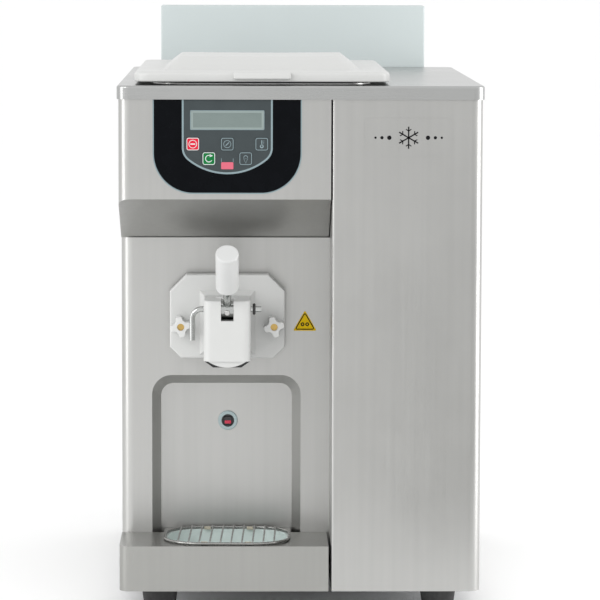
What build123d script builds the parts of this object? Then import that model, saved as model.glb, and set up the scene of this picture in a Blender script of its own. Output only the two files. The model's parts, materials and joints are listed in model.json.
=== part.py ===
from build123d import *
import math
import os

# Countertop soft-serve ice cream machine, in millimetres, +Z up, front towards -Y.
# Every shape is drawn with X = 0 on the machine's middle, Y = 0 at the front edge of
# the top cover and Z = 0 at the lower edge of the side panels.  write() then shifts it
# so that the origin is under the middle of the whole machine, on the worktop.

# ---- overall sizes ----
cover_width = 400.0
cover_depth = 600.0
body_height = 540.3          # side panels, from their lower edge to the cover's rim
foot_height = 30.0
sheet = 1.5                  # thickness of the steel sheets
corner_radius = 12.5         # upright edges of the cover and of the body
body_inset = 1.7             # the panels stand this far inside the cover's sides
front_inset = 3.0            # and this far behind its front and before its back
seam_x = 33.0                # right end of the control fascia
seam_gap = 1.2               # joint between the fascia and the right column
wrap = 15.0                  # how far a bent edge returns along the next side
gap = 0.3                    # plain clearance between parts that move past each other
fit = 0.05                   # radial clearance of a running shaft
eps = 1.0                    # how far a cutting tool runs past the face that it opens
column_edge = 3.0            # bend radius beside the fascia
base_top = 2.0               # thickness of the base pan
pan_lip = 18.0               # upturned lip of the base pan
foot_inset_side = 43.3       # from the body's sides to the feet's axes
foot_inset_end = 62.0
foot_sole_radius = 17.0
foot_top_radius = 21.0

# ---- air openings in the casing ----
vent_width = 5.0
vent_height = 46.0
vent_pitch_y = 14.0
vent_pitch_z = 58.0
vent_columns = 11
vent_start = 380.0
vent_bottom = 60.0
left_vent_rows = 2
right_vent_rows = 4
louvre_half = 55.0
louvre_height = 5.0
louvre_pitch = 12.0
upper_louvres = 11
lower_louvres = 8
louvre_margin = 16.0         # first louvre above the lower end of the chimney
lower_louvre_z = 90.0

# ---- top cover ----
rim_height = 15.0
rim_round = 2.5

# ---- control fascia and recess ----
fascia_lower = 431.7         # lower front edge of the fascia
recess_top = 383.2           # where its slanted underside meets the recessed panel
recess_depth = 94.3          # from the front plane back to the recessed panel

# ---- overlay, keypad and display ----
overlay_x = -79.8
overlay_width = 161.8
overlay_bottom = 437.8
overlay_corner = 44.0
overlay_thick = 0.8
keypad_width = 96.5
keypad_shoulder = 480.0
keypad_bottom = 460.3
keypad_thick = 1.0
display_width = 79.5
display_bottom = 507.8
display_top = 528.1
key_size = 13.5
key_corner = 2.0
key_flange = 1.0
key_proud = 0.5
key_travel = 0.4
upper_key_z = 492.0
lower_key_z = 476.2
outer_key_offset = 37.4
lower_key_offset = 20.0
level_width = 13.3
level_bottom = 464.7
level_top = 472.3
window_margin = 2.0
window_lip = 0.4             # the display window reaches this far into the fascia's opening
small_corner = 1.0
lens_proud = 0.2
keypad_round = 8.0
flange_thick = 0.8
board_gap = 2.5
board_thick = 1.6
board_side = 6.0
board_below = 8.0
board_above = 7.0
post_inset = 4.0
post_radius = 2.5
key_switch_radius = 3.0
chip_size = 20.0
chip_height = 4.0
chip_x = (-30.0, 8.0)

# ---- cup niche in the recessed panel ----
niche_x = -81.0
niche_half = 83.2
niche_below_flange = 6.1     # from the cylinder's flange down to the niche's top
niche_corner = 22.0
niche_floor_corner = 14.0
niche_depth = 29.5
niche_draft = 9.5            # how much each side leans in from the niche's mouth to its floor
niche_top_draft = 12.6       # and how much its top leans down

# ---- switch in the niche ----
switch_x = -79.5
switch_z = 172.9
switch_ring = 22.0
switch_disc = 14.4
switch_proud = 2.5
switch_length = 24.5
switch_hole_play = 1.5
bezel_round = 1.2
rocker_size = 8.4
rocker_depth = 4.0
rocker_pocket = 6.0
rocker_corner = 1.2

# ---- drip tray and grid ----
tray_height = 50.0
tray_gap = 2.7               # to the right column
tray_wall = 2.0
tab_depth = 28.0
tab_half = 71.0
tray_back_gap = 0.6          # from the tray to the recessed panel
grid_width = 141.0
grid_depth = 114.0
grid_corner = 43.0
grid_wire = 3.2
grid_rods = 10
grid_rod_wire = 2.0
grid_turn = 1.5
grid_from_front = 4.5        # from the tray's front face to the grid
basin_depth = 34.0
basin_margin = 4.0
pad_width = 7.0
pad_length = 6.0

# ---- hopper and lid ----
hopper_x = -42.0
hopper_width = 216.0
hopper_front = 52.0
hopper_length = 320.0
hopper_floor = 425.0
hopper_corner = 25.0
hopper_wall = 1.2
hopper_room = 5.0            # room for the hopper in the opening of the column's inner wall
flange = 12.0
gasket_thick = 2.4
gasket_inset = 1.0
gasket_width = 7.0
feed_radius = 9.0            # bore of the hopper's outlet
spigot_wall = 2.0
feed_wall = 2.5
feed_hole_radius = 3.0
feed_hole_height = 8.0       # above the hopper's floor
feed_seat = 30.0             # the feed tube ends this far above the cylinder
feed_below_cover = 25.0
lid_width = 278.2
lid_front = 10.0
lid_length = 405.0
lid_thick = 10.8
lid_wall = 3.0
lid_corner = 16.0
dome_rise = 14.7
dome_width = 217.0
dome_top_width = 181.0
dome_front = 60.0
dome_back = 300.0
dome_slope_front = 40.0
dome_slope_back = 50.0
dome_corner = 14.0
dome_top_corner = 10.0
tab_width = 62.0
tab_reach = 6.0
tab_corner = 3.0
tab_above = 3.0              # the tab's lower face above the lid's lower edge

# ---- chimney ----
chimney_width = 330.0
chimney_depth = 59.5
chimney_above = 76.2
chimney_bottom = 270.0
slot_count = 19
slot_pitch = 16.9
slot_length = 14.6
slot_height = 5.0
slot_rows = 3
slot_first = 6.0
slot_row_pitch = 18.0
chimney_wall = 1.0
chimney_edge = 2.0
chimney_gap = 0.5            # from the cover's back edge
bracket_height = 10.0
bracket_inset = 5.0

# ---- freezing cylinder and drive ----
cylinder_x = -79.8
cylinder_z = 296.0
cylinder_bore = 78.0
cylinder_wall = 3.0
cylinder_length = 230.0
flange_reach = 23.0          # from the bore to the flange's edge
flange_depth = 4.0
back_wall = 8.0
inlet_back = 22.0            # mix inlet behind the front of the cylinder
insulation = 20.0
insulation_back = 14.0       # the foam starts this far behind the inlet
insulation_end = 6.0
beater_play = 0.8
beater_core_radius = 11.0
beater_front = 14.0
beater_end = 12.0
scraper_width = 9.0
scraper_half = 2.0
paddle_count = 12
paddle_half = 2.5
paddle_height = 3.0
shaft_grip = 30.0            # length of shaft held in the beater and in the gearbox
shaft_diameter = 16.0
gearbox_gap = 6.0
gearbox_length = 64.0
gearbox_half = 46.0
gearbox_round = 8.0
shelf_thick = 5.0
motor_radius = 45.0
motor_length = 150.0
motor_fins = 16
fin_height = 5.0
fin_half = 1.2
fin_start = 12.0
fin_end = 18.0

# ---- dispensing head ----
knob_to_flange = 10.3        # from a knob's axis in from the flange's edge
knob_to_side = 12.35         # and from it to the head plate's side
plate_above = 4.9            # head plate above the cylinder's wall
plate_below = 4.5            # and below it
plate_round = 2.0
head_front = 75.0
head_thick = 17.0
head_chamfer_top = 18.5
head_chamfer_bottom = 12.6
block_width = 51.8
block_bottom = 253.3
block_top = 320.2
block_front = 10.0
block_corner = 9.0
block_round = 2.0
block_fillet = 5.0
web_edge = 0.1               # what the web's chamfer leaves of its front edges
spigot_play = 0.2            # radial, between the head's spigot and the cylinder
spigot_length = 9.0
spigot_shell = 8.0
groove_start = 4.0
groove_width = 3.0
groove_depth = 1.8
duct_height = 12.0           # mix duct above the piston's lower end
duct_radius = 7.0
piston_clear = 4.0           # room below the piston
slot_width = 13.8
slot_floor = 297.8
piston_diameter = 27.0
piston_bottom = 258.0
piston_top = 321.2
piston_round = 2.0
seal_height = 3.0
seal_depth = 2.5
seal_places = (6.0, 26.0)    # above the piston's lower end
pin_diameter = 6.2
pin_y = 22.0
pin_z = 310.0
pin_left = -118.2
pin_right = -42.6
pin_end_z = 275.7
pin_bend = 10.5
pin_ring_x = -50.4
pin_ring_wire = 3.2
tip_arm = 24.0
bore_offset = 28.0           # from the pivot pin back to the piston's axis
tip_droop = 25.0             # the lever's tip points this far below level at rest
tip_diameter = 13.0
tip_neck = 5.0
tip_play = 0.7
lever_swing = 55.0           # from rest to fully open
piston_travel = 22.0         # how far that lifts the piston
spout_radius = 23.0
spout_tip_radius = 11.0
spout_drop = 9.6
outlet_radius = 8.0
lip_half = 21.0              # rounded white lip in front of the spout
lip_drop = 6.6
lip_inset = 2.0
lip_thick = 15.0
ring_top_width = 50.6
ring_bottom_width = 31.0
ring_drop = 7.0
ring_inset = 6.0

# ---- lever ----
hub_radius = 9.0
stem_diameter = 9.0
stem_angle = 45.0
grip_diameter = 25.0
grip_start = 36.0
grip_end = 95.2
grip_round = 2.0
grip_chamfer = 3.0
stem_end = 25.0              # the stem ends this far inside the grip
hub_flat = 1.0
screw_diameter = 6.0
screw_drop = 3.5
screw_head = 1.6
screw_round = 1.0
screw_depth = 3.0

# ---- star knobs ----
knob_z = 286.0
knob_radius = 11.5
knob_lobe = 7.4
knob_lobe_round = 2.6
knob_valley = 5.0
knob_edge = 1.0
knob_length = 18.0
knob_bore = 8.0
knob_recess = 4.0
insert_face = 1.5
stud_diameter = 6.0
stud_reach = 11.0
left_knob_turn = 12.0
right_knob_turn = 14.0

# ---- cooling system ----
compressor_radius = 62.0
compressor_height = 175.0
compressor_round = 34.0
compressor_back = 125.0      # behind the recessed panel
plate_margin = 8.0
plate_thick = 4.0
mount_height = 14.0
mount_radius = 7.0
mount_inset = 10.0
condenser_height = 320.0
condenser_width = 140.0
condenser_thick = 38.0
condenser_back = 70.0        # its front face before the body's back
condenser_base = 30.0
condenser_end = 6.0
condenser_leg = 8.0
fin_count = 24
fin_slot_depth = 4.0
fan_radius = 64.0
fan_hub = 18.0
fan_width = 14.0
fan_back = 6.0               # from the blades to the condenser
fan_play = 3.0
shroud_margin = 12.0
blade_count = 6
blade_pitch = 35.0
blade_thick = 2.0
blade_chord = 15.0
fan_shaft = 4.0
fan_cap = 2.0
fan_motor_radius = 30.0
fan_motor_length = 42.0
arm_thick = 8.0
arm_half = 7.0
line_diameter = 8.0
line_bend = 14.0
line_below_hopper = 13.0
line_spread = 20.0
line_side = 30.0
line_behind = 70.0
drier_radius = 8.5
drier_start = 130.0
drier_end = 60.0

# ---- electrical box and cable gland ----
box_left_gap = 28.3          # from the body's left side
box_right_gap = 24.2         # to the bulkhead
box_front = 80.0             # behind the recessed panel
box_length = 220.0
box_top = 110.0
box_wall = 3.0
box_corner = 6.0
gland_x = -140.0
gland_z = 60.0
gland_thread = 8.0
gland_bore = 4.2
gland_inside = 8.0
gland_hexagon = 11.0
gland_nut = 7.0
gland_cone = 10.0
gland_cone_base = 9.5
gland_cone_tip = 7.0

# ---- plates on the front ----
label_x = 6.65
label_half = 13.2
label_low = 277.9
label_apex = 300.8
label_round = 1.0
label_thick = 0.5
badge_x = 117.0
badge_z = 499.2
badge_width = 96.0
badge_height = 42.5
badge_corner = 6.0
badge_thick = 0.8

# ---- worked out from the sizes above ----
body_half = cover_width / 2 - body_inset
body_front = front_inset
body_back = cover_depth - front_inset
recess_y = body_front + recess_depth
column_left = seam_x + seam_gap
cover_top = body_height + rim_height
overlay_front = body_front - overlay_thick
keypad_front = body_front - keypad_thick
keypad_half = keypad_width / 2
tray_left = -body_half
tray_right = column_left - tray_gap
grid_y = body_front + grid_from_front + grid_depth / 2
hopper_back = hopper_front + hopper_length
flange_top = cover_top + hopper_wall
gasket_top = flange_top + gasket_thick
lid_bottom = gasket_top + gap
lid_top = lid_bottom + lid_thick
chimney_front = cover_depth + chimney_gap
chimney_back = chimney_front + chimney_depth
chimney_top = cover_top + chimney_above
cylinder_radius = cylinder_bore / 2 + cylinder_wall
cylinder_front = recess_y + sheet
cylinder_back = cylinder_front + cylinder_length
inlet_y = cylinder_front + inlet_back
cylinder_flange = cylinder_bore + 2 * flange_reach
niche_top = cylinder_z - cylinder_flange / 2 - niche_below_flange
knob_spacing = cylinder_flange - 2 * knob_to_flange
head_width = knob_spacing + 2 * knob_to_side
head_top = cylinder_z + cylinder_radius + plate_above
head_bottom = cylinder_z - cylinder_radius - plate_below
head_back = head_front + head_thick
spigot_radius = cylinder_bore / 2 - spigot_play
bore_y = pin_y + bore_offset
tip_z = pin_z - tip_arm * math.sin(math.radians(tip_droop))
gearbox_front = cylinder_back + gearbox_gap
compartment_x = (column_left + body_half) / 2
niche_floor = recess_y + niche_depth
grip_slant = math.radians(stem_angle)
grip_reach = (
    (grip_end - grip_round) * math.cos(grip_slant)
    + (grip_diameter / 2 - grip_round) * math.sin(grip_slant)
    + grip_round
    - pin_y
)
shift = (0, -(chimney_back - grip_reach) / 2, foot_height)


# ---- helpers ----
def block(x0, x1, y0, y1, z0, z1):
    """Box between two corners."""
    middle = ((x0 + x1) / 2, (y0 + y1) / 2, (z0 + z1) / 2)
    return Pos(*middle) * Box(x1 - x0, y1 - y0, z1 - z0)


def rod_x(y, z, radius, x0, x1):
    """Cylinder along X."""
    return Pos((x0 + x1) / 2, y, z) * Rot(0, 90, 0) * Cylinder(radius, x1 - x0)


def rod_y(x, z, radius, y0, y1):
    """Cylinder along Y."""
    return Pos(x, (y0 + y1) / 2, z) * Rot(90, 0, 0) * Cylinder(radius, y1 - y0)


def rod_z(x, y, radius, z0, z1):
    """Cylinder along Z."""
    return Pos(x, y, (z0 + z1) / 2) * Cylinder(radius, z1 - z0)


def plan(x0, x1, y0, y1, fl=0.0, fr=0.0, bl=0.0, br=0.0):
    """Rectangle seen from above, with a radius at its front and back, left and right corners."""
    outline = Polygon((x0, y0), (x1, y0), (x1, y1), (x0, y1), align=None)
    for px, py, radius in ((x0, y0, fl), (x1, y0, fr), (x0, y1, bl), (x1, y1, br)):
        if radius > 0:
            outline = fillet(outline.vertices().sort_by_distance((px, py, 0))[0], radius)
    return outline


def rise(sketch, z0, z1):
    """Extrude a sketch seen from above, between two heights."""
    return extrude(Pos(0, 0, z0) * sketch, amount=z1 - z0, dir=(0, 0, 1))


def facing(sketch, y0, y1):
    """Extrude a sketch of X and Z, as seen from the front, between two depths."""
    front = Plane(origin=(0, y0, 0), x_dir=(1, 0, 0), z_dir=(0, -1, 0))
    return extrude(front * sketch, amount=y1 - y0, dir=(0, 1, 0))


def sideways(points, x0, x1):
    """Extrude a polygon of Y and Z, as seen from the side, between two places in X."""
    side = Plane(origin=(x0, 0, 0), x_dir=(0, 1, 0), z_dir=(1, 0, 0))
    return extrude(side * Polygon(*points, align=None), amount=x1 - x0, dir=(1, 0, 0))


def rounded(width, height, radius, x, z):
    """Rounded rectangle seen from the front."""
    return Pos(x, z) * RectangleRounded(width, height, radius)


def write(node, shape):
    """Move one piece into the machine's frame and write its STEP file."""
    placed = Pos(*shift) * shape
    export_step(placed, os.path.join("parts", node + ".step"))


# ---- casing ----
def make_base_pan():
    """Floor of the machine, with an upturned lip along its back and sides."""
    inner = body_half - sheet
    side_return = recess_y + wrap + sheet
    r = corner_radius - sheet
    t = base_top
    pan = rise(plan(-inner, inner, side_return, body_back - sheet, bl=r, br=r), 0, t + pan_lip)
    pan -= rise(
        plan(-inner + t, inner - t, side_return - eps, body_back - sheet - t, bl=r - t, br=r - t),
        t, t + pan_lip + eps,
    )
    apron_left = tray_left + tray_wall + gap
    apron_front = body_front + tray_wall + gap
    apron_right = tray_right - tray_wall - gap
    apron = plan(apron_left, apron_right, apron_front, side_return, fl=corner_radius - tray_wall - gap)
    pan += rise(apron, 0, base_top)
    under_column = plan(column_left + 2 * sheet, inner, body_front + sheet, side_return, fr=r)
    pan += rise(under_column, 0, base_top)
    return pan


def make_feet():
    """Four tapered rubber feet."""
    side = body_half - foot_inset_side
    feet = []
    for x in (-side, side):
        for y in (foot_inset_end, cover_depth - foot_inset_end):
            foot = Cone(foot_sole_radius, foot_top_radius, foot_height)
            feet.append(Pos(x, y, -foot_height / 2) * foot)
    return Compound(feet)


def under_z(y, inset=0.0):
    """Height of the fascia's slanted underside at a depth, inset into the sheet."""
    slope = (fascia_lower - recess_top) / recess_depth
    return fascia_lower - slope * (y - body_front) + inset * math.sqrt(1 + slope * slope)


def fascia_form(inset):
    """Filled outline of the control fascia, drawn in by inset from its outer faces."""
    left = -body_half + inset
    front = body_front + inset
    back = recess_y + sheet
    form = sideways(
        [
            (front, under_z(front, inset)), (back, under_z(back, inset)),
            (back, body_height), (front, body_height),
        ],
        left, seam_x,
    )
    edge = form.edges().filter_by(Axis.Z).sort_by_distance((left, front, body_height))[0]
    return fillet(edge, corner_radius - inset)


def make_control_fascia():
    """Bent front sheet above the recess, open at its top, back and right end."""
    sheet_form = fascia_form(0) - fascia_form(sheet)
    start = body_front + corner_radius + gap
    end = recess_y + 2 * wrap
    above = [
        (start, under_z(start, sheet)), (end, under_z(end, sheet)), (end, body_height + eps),
        (start, body_height + eps),
    ]
    sheet_form -= sideways(above, -body_half - eps, seam_x + eps)
    for opening in panel_windows():
        sheet_form -= opening
    return sheet_form


def panel_windows():
    """The two joined openings in the fascia behind the keypad."""
    half = keypad_half - window_margin
    lower_half = lower_key_offset + key_size / 2 + key_flange + window_margin
    upper_low = upper_key_z - key_size / 2 - key_flange - window_margin / 2
    depth = (body_front - eps, body_front + sheet + eps)
    upper = block(overlay_x - half, overlay_x + half, *depth, upper_low, display_top + window_margin)
    lower_low = keypad_bottom + 2 * window_margin
    lower = block(overlay_x - lower_half, overlay_x + lower_half, *depth, lower_low, upper_low)
    return [upper, lower]


def make_front_panel():
    """Recessed panel with the tapered cup niche pressed into it."""
    t = sheet
    column_face = column_left
    panel_top = under_z(recess_y + sheet)
    panel = rise(
        plan(-body_half, column_face, recess_y, recess_y + wrap, fl=corner_radius),
        base_top, panel_top,
    )
    panel -= rise(
        plan(-body_half + t, column_face + eps, recess_y + t, recess_y + wrap + eps, fl=corner_radius - t),
        base_top - eps, recess_top + eps,
    )
    panel += niche_form(t, t / 2, niche_depth + t, base_top)
    panel -= niche_form(0, -eps, niche_depth, base_top - eps)
    panel -= rod_y(cylinder_x, cylinder_z, cylinder_radius + gap, recess_y - eps, recess_y + t + eps)
    for x in knob_places():
        panel -= rod_y(x, knob_z, stud_diameter / 2, recess_y - eps, recess_y + t + eps)
    hole = switch_disc / 2 + switch_hole_play
    panel -= rod_y(switch_x, switch_z, hole, niche_floor - eps, niche_floor + t + eps)
    return panel


def niche_form(grow, start, end, bottom):
    """Niche between two depths behind the panel's face, its outline grown by grow."""
    faces = []
    for depth in (start, end):
        share = depth / niche_depth
        half = niche_half - niche_draft * share + grow
        top = niche_top - niche_top_draft * share + grow
        radius = niche_corner - (niche_corner - niche_floor_corner) * share + grow
        outline = Polygon(
            (niche_x - half, bottom), (niche_x + half, bottom), (niche_x + half, top), (niche_x - half, top),
            align=None,
        )
        outline = fillet(outline.vertices().sort_by(Axis.Y)[-2:], radius)
        plane = Plane(origin=(0, recess_y + depth, 0), x_dir=(1, 0, 0), z_dir=(0, -1, 0))
        faces.append(plane * outline)
    return loft(faces, ruled=True)


def side_form(inset):
    """Filled outline of the left side behind the fascia and the recessed panel."""
    upper_start = body_front + corner_radius + gap
    lower_start = recess_y + wrap
    knee_y = recess_y + sheet
    back = body_back - inset
    form = sideways(
        [
            (upper_start, body_height), (upper_start, under_z(upper_start, sheet)),
            (knee_y, under_z(knee_y, sheet)), (knee_y, under_z(knee_y)), (lower_start, under_z(knee_y)),
            (lower_start, 0), (back, 0), (back, body_height),
        ],
        -body_half + inset, -body_half + 2 * wrap,
    )
    edge = form.edges().filter_by(Axis.Z).sort_by_distance((-body_half + inset, back, body_height / 2))[0]
    return fillet(edge, corner_radius - inset)


def vent_slots(x, rows):
    """Grid of upright air slots through a side panel."""
    cutters = []
    for row in range(rows):
        for column in range(vent_columns):
            y = vent_start + column * vent_pitch_y
            z = vent_bottom + row * vent_pitch_z
            cutters.append(
                block(x - 3 * sheet, x + 3 * sheet, y, y + vent_width, z, z + vent_height)
            )
    return cutters


def make_left_side_panel():
    """Left side sheet, bent round the back corner, with air slots low down."""
    panel = side_form(0)
    panel -= side_form(sheet)
    panel -= block(-body_half + wrap + eps, 0, 0, cover_depth, -eps, body_height + eps)
    for cutter in vent_slots(-body_half, left_vent_rows):
        panel -= cutter
    return panel


def make_right_column_panel():
    """Front, inner wall and right side of the tall column, in one bent sheet."""
    t = sheet
    outline = plan(
        column_left, body_half, body_front, body_back, fl=column_edge, fr=corner_radius, br=corner_radius,
    )
    outer = rise(outline, 0, body_height)
    inner = rise(
        plan(
            column_left + t, body_half - t, body_front + t, body_back - t,
            fl=column_edge - t, fr=corner_radius - t, br=corner_radius - t,
        ),
        -eps, body_height + eps,
    )
    panel = outer - inner
    panel -= block(
        column_left - eps, body_half - t - corner_radius, recess_y + wrap, body_back + eps,
        -eps, body_height + eps,
    )
    panel -= block(
        column_left - eps, column_left + 2 * t, body_front + 2 * wrap, recess_y + 2 * wrap,
        hopper_floor - hopper_room, body_height + eps,
    )
    for cutter in vent_slots(body_half, right_vent_rows):
        panel -= cutter
    return panel


def make_rear_panel():
    """Back sheet with air louvres behind the condenser and a hole for the cable gland."""
    left = -body_half + wrap + eps
    right = body_half - sheet - corner_radius
    panel = block(left, right, body_back - sheet, body_back, base_top, body_height)
    groups = ((chimney_bottom + louvre_margin, upper_louvres), (lower_louvre_z, lower_louvres))
    for first, count in groups:
        for row in range(count):
            z = first + row * louvre_pitch
            panel -= block(
                compartment_x - louvre_half, compartment_x + louvre_half, body_back - 2 * sheet,
                body_back + eps, z, z + louvre_height,
            )
    panel -= rod_y(gland_x, gland_z, gland_thread, body_back - 2 * sheet, body_back + eps)
    return panel


def make_bulkhead():
    """Upright sheet between the cylinder side and the cooling side."""
    front = recess_y + wrap
    top = hopper_floor - line_below_hopper - line_diameter
    return block(column_left, column_left + sheet, front, body_back - sheet - base_top, base_top, top)


def make_top_cover():
    """Shallow pan over the whole body, open above the hopper."""
    half = cover_width / 2
    r = corner_radius
    cover = rise(plan(-half, half, 0, cover_depth, fl=r, fr=r, bl=r, br=r), body_height, cover_top)
    cover = fillet(cover.faces().sort_by(Axis.Z)[-1].edges(), rim_round)
    t = sheet
    s = r - t
    cover -= rise(
        plan(-half + t, half - t, t, cover_depth - t, fl=s, fr=s, bl=s, br=s),
        body_height - eps, cover_top - t,
    )
    opening = Pos(hopper_x, (hopper_front + hopper_back) / 2) * RectangleRounded(
        hopper_width, hopper_length, hopper_corner
    )
    cover -= rise(opening, body_height - eps, cover_top + eps)
    return cover


def make_exhaust_chimney():
    """Flat air duct up the back, with a row of slots along the front edge of its top."""
    half = chimney_width / 2
    t = chimney_wall
    duct = block(-half, half, chimney_front, chimney_back, chimney_bottom, chimney_top)
    duct = fillet(duct.edges().filter_by(Axis.Z), chimney_edge)
    duct = fillet(duct.faces().sort_by(Axis.Z)[-1].edges(), chimney_edge / 2)
    duct -= block(
        -half + t, half - t, chimney_front + t, chimney_back - t, chimney_bottom - eps, chimney_top - t,
    )
    duct -= block(
        -half + 2 * wrap, half - 2 * wrap, chimney_front - eps, chimney_front + 2 * t,
        chimney_bottom + t, body_height - 2 * wrap,
    )
    for row in range(slot_rows):
        y = chimney_front + slot_first + row * slot_row_pitch
        for index in range(slot_count):
            x = (index - (slot_count - 1) / 2) * slot_pitch
            duct -= block(
                x - slot_length / 2, x + slot_length / 2, y, y + slot_height, chimney_top - 2 * t,
                chimney_top + eps,
            )
    bracket_low = chimney_bottom + chimney_edge
    duct += block(
        -half + bracket_inset, half - bracket_inset, body_back, chimney_front + t,
        bracket_low, bracket_low + bracket_height,
    )
    return duct


# ---- hopper and lid ----
def hopper_outline(grow):
    """Hopper's plan outline, grown by grow."""
    middle = (hopper_front + hopper_back) / 2
    return Pos(hopper_x, middle) * RectangleRounded(
        hopper_width + 2 * grow, hopper_length + 2 * grow, hopper_corner + grow
    )


def make_hopper_tank():
    """Mix hopper with a flange on the cover and an outlet pipe down to the cylinder."""
    spigot = feed_radius + spigot_wall
    tank = rise(hopper_outline(0), hopper_floor, cover_top)
    tank = fillet(tank.faces().sort_by(Axis.Z)[0].edges(), 2 * hopper_wall)
    tank += rise(hopper_outline(flange), cover_top, flange_top)
    tank += rod_z(cylinder_x, inlet_y, spigot, cylinder_z + cylinder_radius / 2, hopper_floor)
    inner = rise(hopper_outline(-hopper_wall), hopper_floor + hopper_wall, flange_top + eps)
    inner = fillet(inner.faces().sort_by(Axis.Z)[0].edges(), hopper_wall)
    tank -= inner
    tank -= rod_z(cylinder_x, inlet_y, feed_radius, cylinder_z, hopper_floor + 2 * hopper_wall)
    tank -= rod_y(cylinder_x, cylinder_z, cylinder_radius, cylinder_front - eps, cylinder_back)
    return tank


def make_hopper_gasket():
    """Soft ring between the hopper's flange and the lid."""
    outer_grow = flange - gasket_inset
    outer = rise(hopper_outline(outer_grow), flange_top, gasket_top)
    return outer - rise(hopper_outline(outer_grow - gasket_width), flange_top - eps, gasket_top + eps)


def make_feed_tube():
    """Upright feed tube in the hopper's outlet, with a side hole for the mix."""
    radius = feed_radius - fit
    low = cylinder_z + cylinder_radius + feed_seat
    tube = rod_z(cylinder_x, inlet_y, radius, low, cover_top - feed_below_cover)
    tube -= rod_z(cylinder_x, inlet_y, radius - feed_wall, cylinder_z, cover_top)
    hole_z = hopper_floor + feed_hole_height
    tube -= rod_y(cylinder_x, hole_z, feed_hole_radius, inlet_y - 2 * radius, inlet_y + 2 * radius)
    return tube


def dome_form(grow, base, top):
    """Tapered centre of the lid; grow moves its sides out."""
    lower = plan(
        hopper_x - dome_width / 2 - grow, hopper_x + dome_width / 2 + grow,
        dome_front - grow, dome_back + grow,
    )
    upper = plan(
        hopper_x - dome_top_width / 2 - grow, hopper_x + dome_top_width / 2 + grow,
        dome_front + dome_slope_front - grow, dome_back - dome_slope_back + grow,
    )
    lower = fillet(lower.vertices(), dome_corner + grow)
    upper = fillet(upper.vertices(), dome_top_corner + grow)
    return loft([Pos(0, 0, base) * lower, Pos(0, 0, top) * upper], ruled=True)


def make_hopper_lid():
    """White lid with a raised centre and a finger tab at the front."""
    left = hopper_x - lid_width / 2
    right = hopper_x + lid_width / 2
    r = lid_corner
    back = lid_front + lid_length
    lid = rise(plan(left, right, lid_front, back, fl=r, fr=r, bl=r, br=r), lid_bottom, lid_top)
    tab = block(
        hopper_x - tab_width / 2, hopper_x + tab_width / 2, lid_front - tab_reach, lid_front + r,
        lid_bottom + tab_above, lid_top,
    )
    lid += fillet(tab.edges().filter_by(Axis.Z), tab_corner)
    lid += dome_form(0, lid_top, lid_top + dome_rise)
    s = r - lid_wall
    w = lid_wall
    lid -= rise(
        plan(left + w, right - w, lid_front + w, back - w, fl=s, fr=s, bl=s, br=s),
        lid_bottom - eps, lid_top - w,
    )
    lid -= dome_form(-w, lid_top - w - eps, lid_top + dome_rise - w)
    return lid


# ---- control panel ----
def make_control_overlay():
    """Black membrane with two large lower corners, open round the keypad."""
    half = overlay_width / 2
    outline = Polygon(
        (overlay_x - half, overlay_bottom), (overlay_x + half, overlay_bottom),
        (overlay_x + half, body_height), (overlay_x - half, body_height), align=None,
    )
    outline = fillet(outline.vertices().sort_by(Axis.Y)[:2], overlay_corner)
    return facing(outline - keypad_outline(), overlay_front, body_front)


def keypad_outline():
    """Grey field with straight sides, rounded shoulders and a shallow arc below."""
    left = overlay_x - keypad_half
    right = overlay_x + keypad_half
    lines = [
        Line((left, body_height), (left, keypad_shoulder)),
        ThreePointArc((left, keypad_shoulder), (overlay_x, keypad_bottom), (right, keypad_shoulder)),
        Line((right, keypad_shoulder), (right, body_height)),
        Line((right, body_height), (left, body_height)),
    ]
    outline = make_face(Curve() + lines)
    return fillet(outline.vertices().sort_by(Axis.Y)[:2], keypad_round)


def key_places():
    """Centre of each key by name."""
    return {
        "key_stop": (overlay_x - outer_key_offset, upper_key_z),
        "key_clean": (overlay_x, upper_key_z),
        "key_wash": (overlay_x + outer_key_offset, upper_key_z),
        "key_start": (overlay_x - lower_key_offset, lower_key_z),
        "key_portion": (overlay_x + lower_key_offset, lower_key_z),
    }


def make_keypad_plate():
    """Grey keypad sheet with openings for the keys, the display and the level lamp."""
    outline = keypad_outline()
    hole = key_size + 2 * gap
    for x, z in key_places().values():
        outline -= rounded(hole, hole, key_corner + gap, x, z)
    outline -= rounded(display_width, display_top - display_bottom, small_corner, overlay_x, display_middle())
    outline -= rounded(level_width, level_top - level_bottom, small_corner, overlay_x, level_middle())
    return facing(outline, keypad_front, body_front)


def display_middle():
    """Height of the display's centre."""
    return (display_bottom + display_top) / 2


def level_middle():
    """Height of the level lamp's centre."""
    return (level_bottom + level_top) / 2


def make_key(x, z):
    """Square key cap on a wider flange that holds it behind the keypad."""
    cap = facing(rounded(key_size, key_size, key_corner, x, z), keypad_front - key_proud, body_front + gap)
    wide = key_size + 2 * key_flange
    lip = facing(rounded(wide, wide, key_corner, x, z), body_front + gap, body_front + gap + flange_thick)
    return cap + lip


def make_display_window():
    """Clear window in front of the display."""
    outline = rounded(display_width, display_top - display_bottom, small_corner, overlay_x, display_middle())
    return facing(outline, keypad_front, body_front + window_lip)


def make_level_indicator():
    """Lamp lens of the level warning."""
    outline = rounded(level_width, level_top - level_bottom, small_corner, overlay_x, level_middle())
    return facing(outline, keypad_front - lens_proud, body_front + board_gap)


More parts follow.
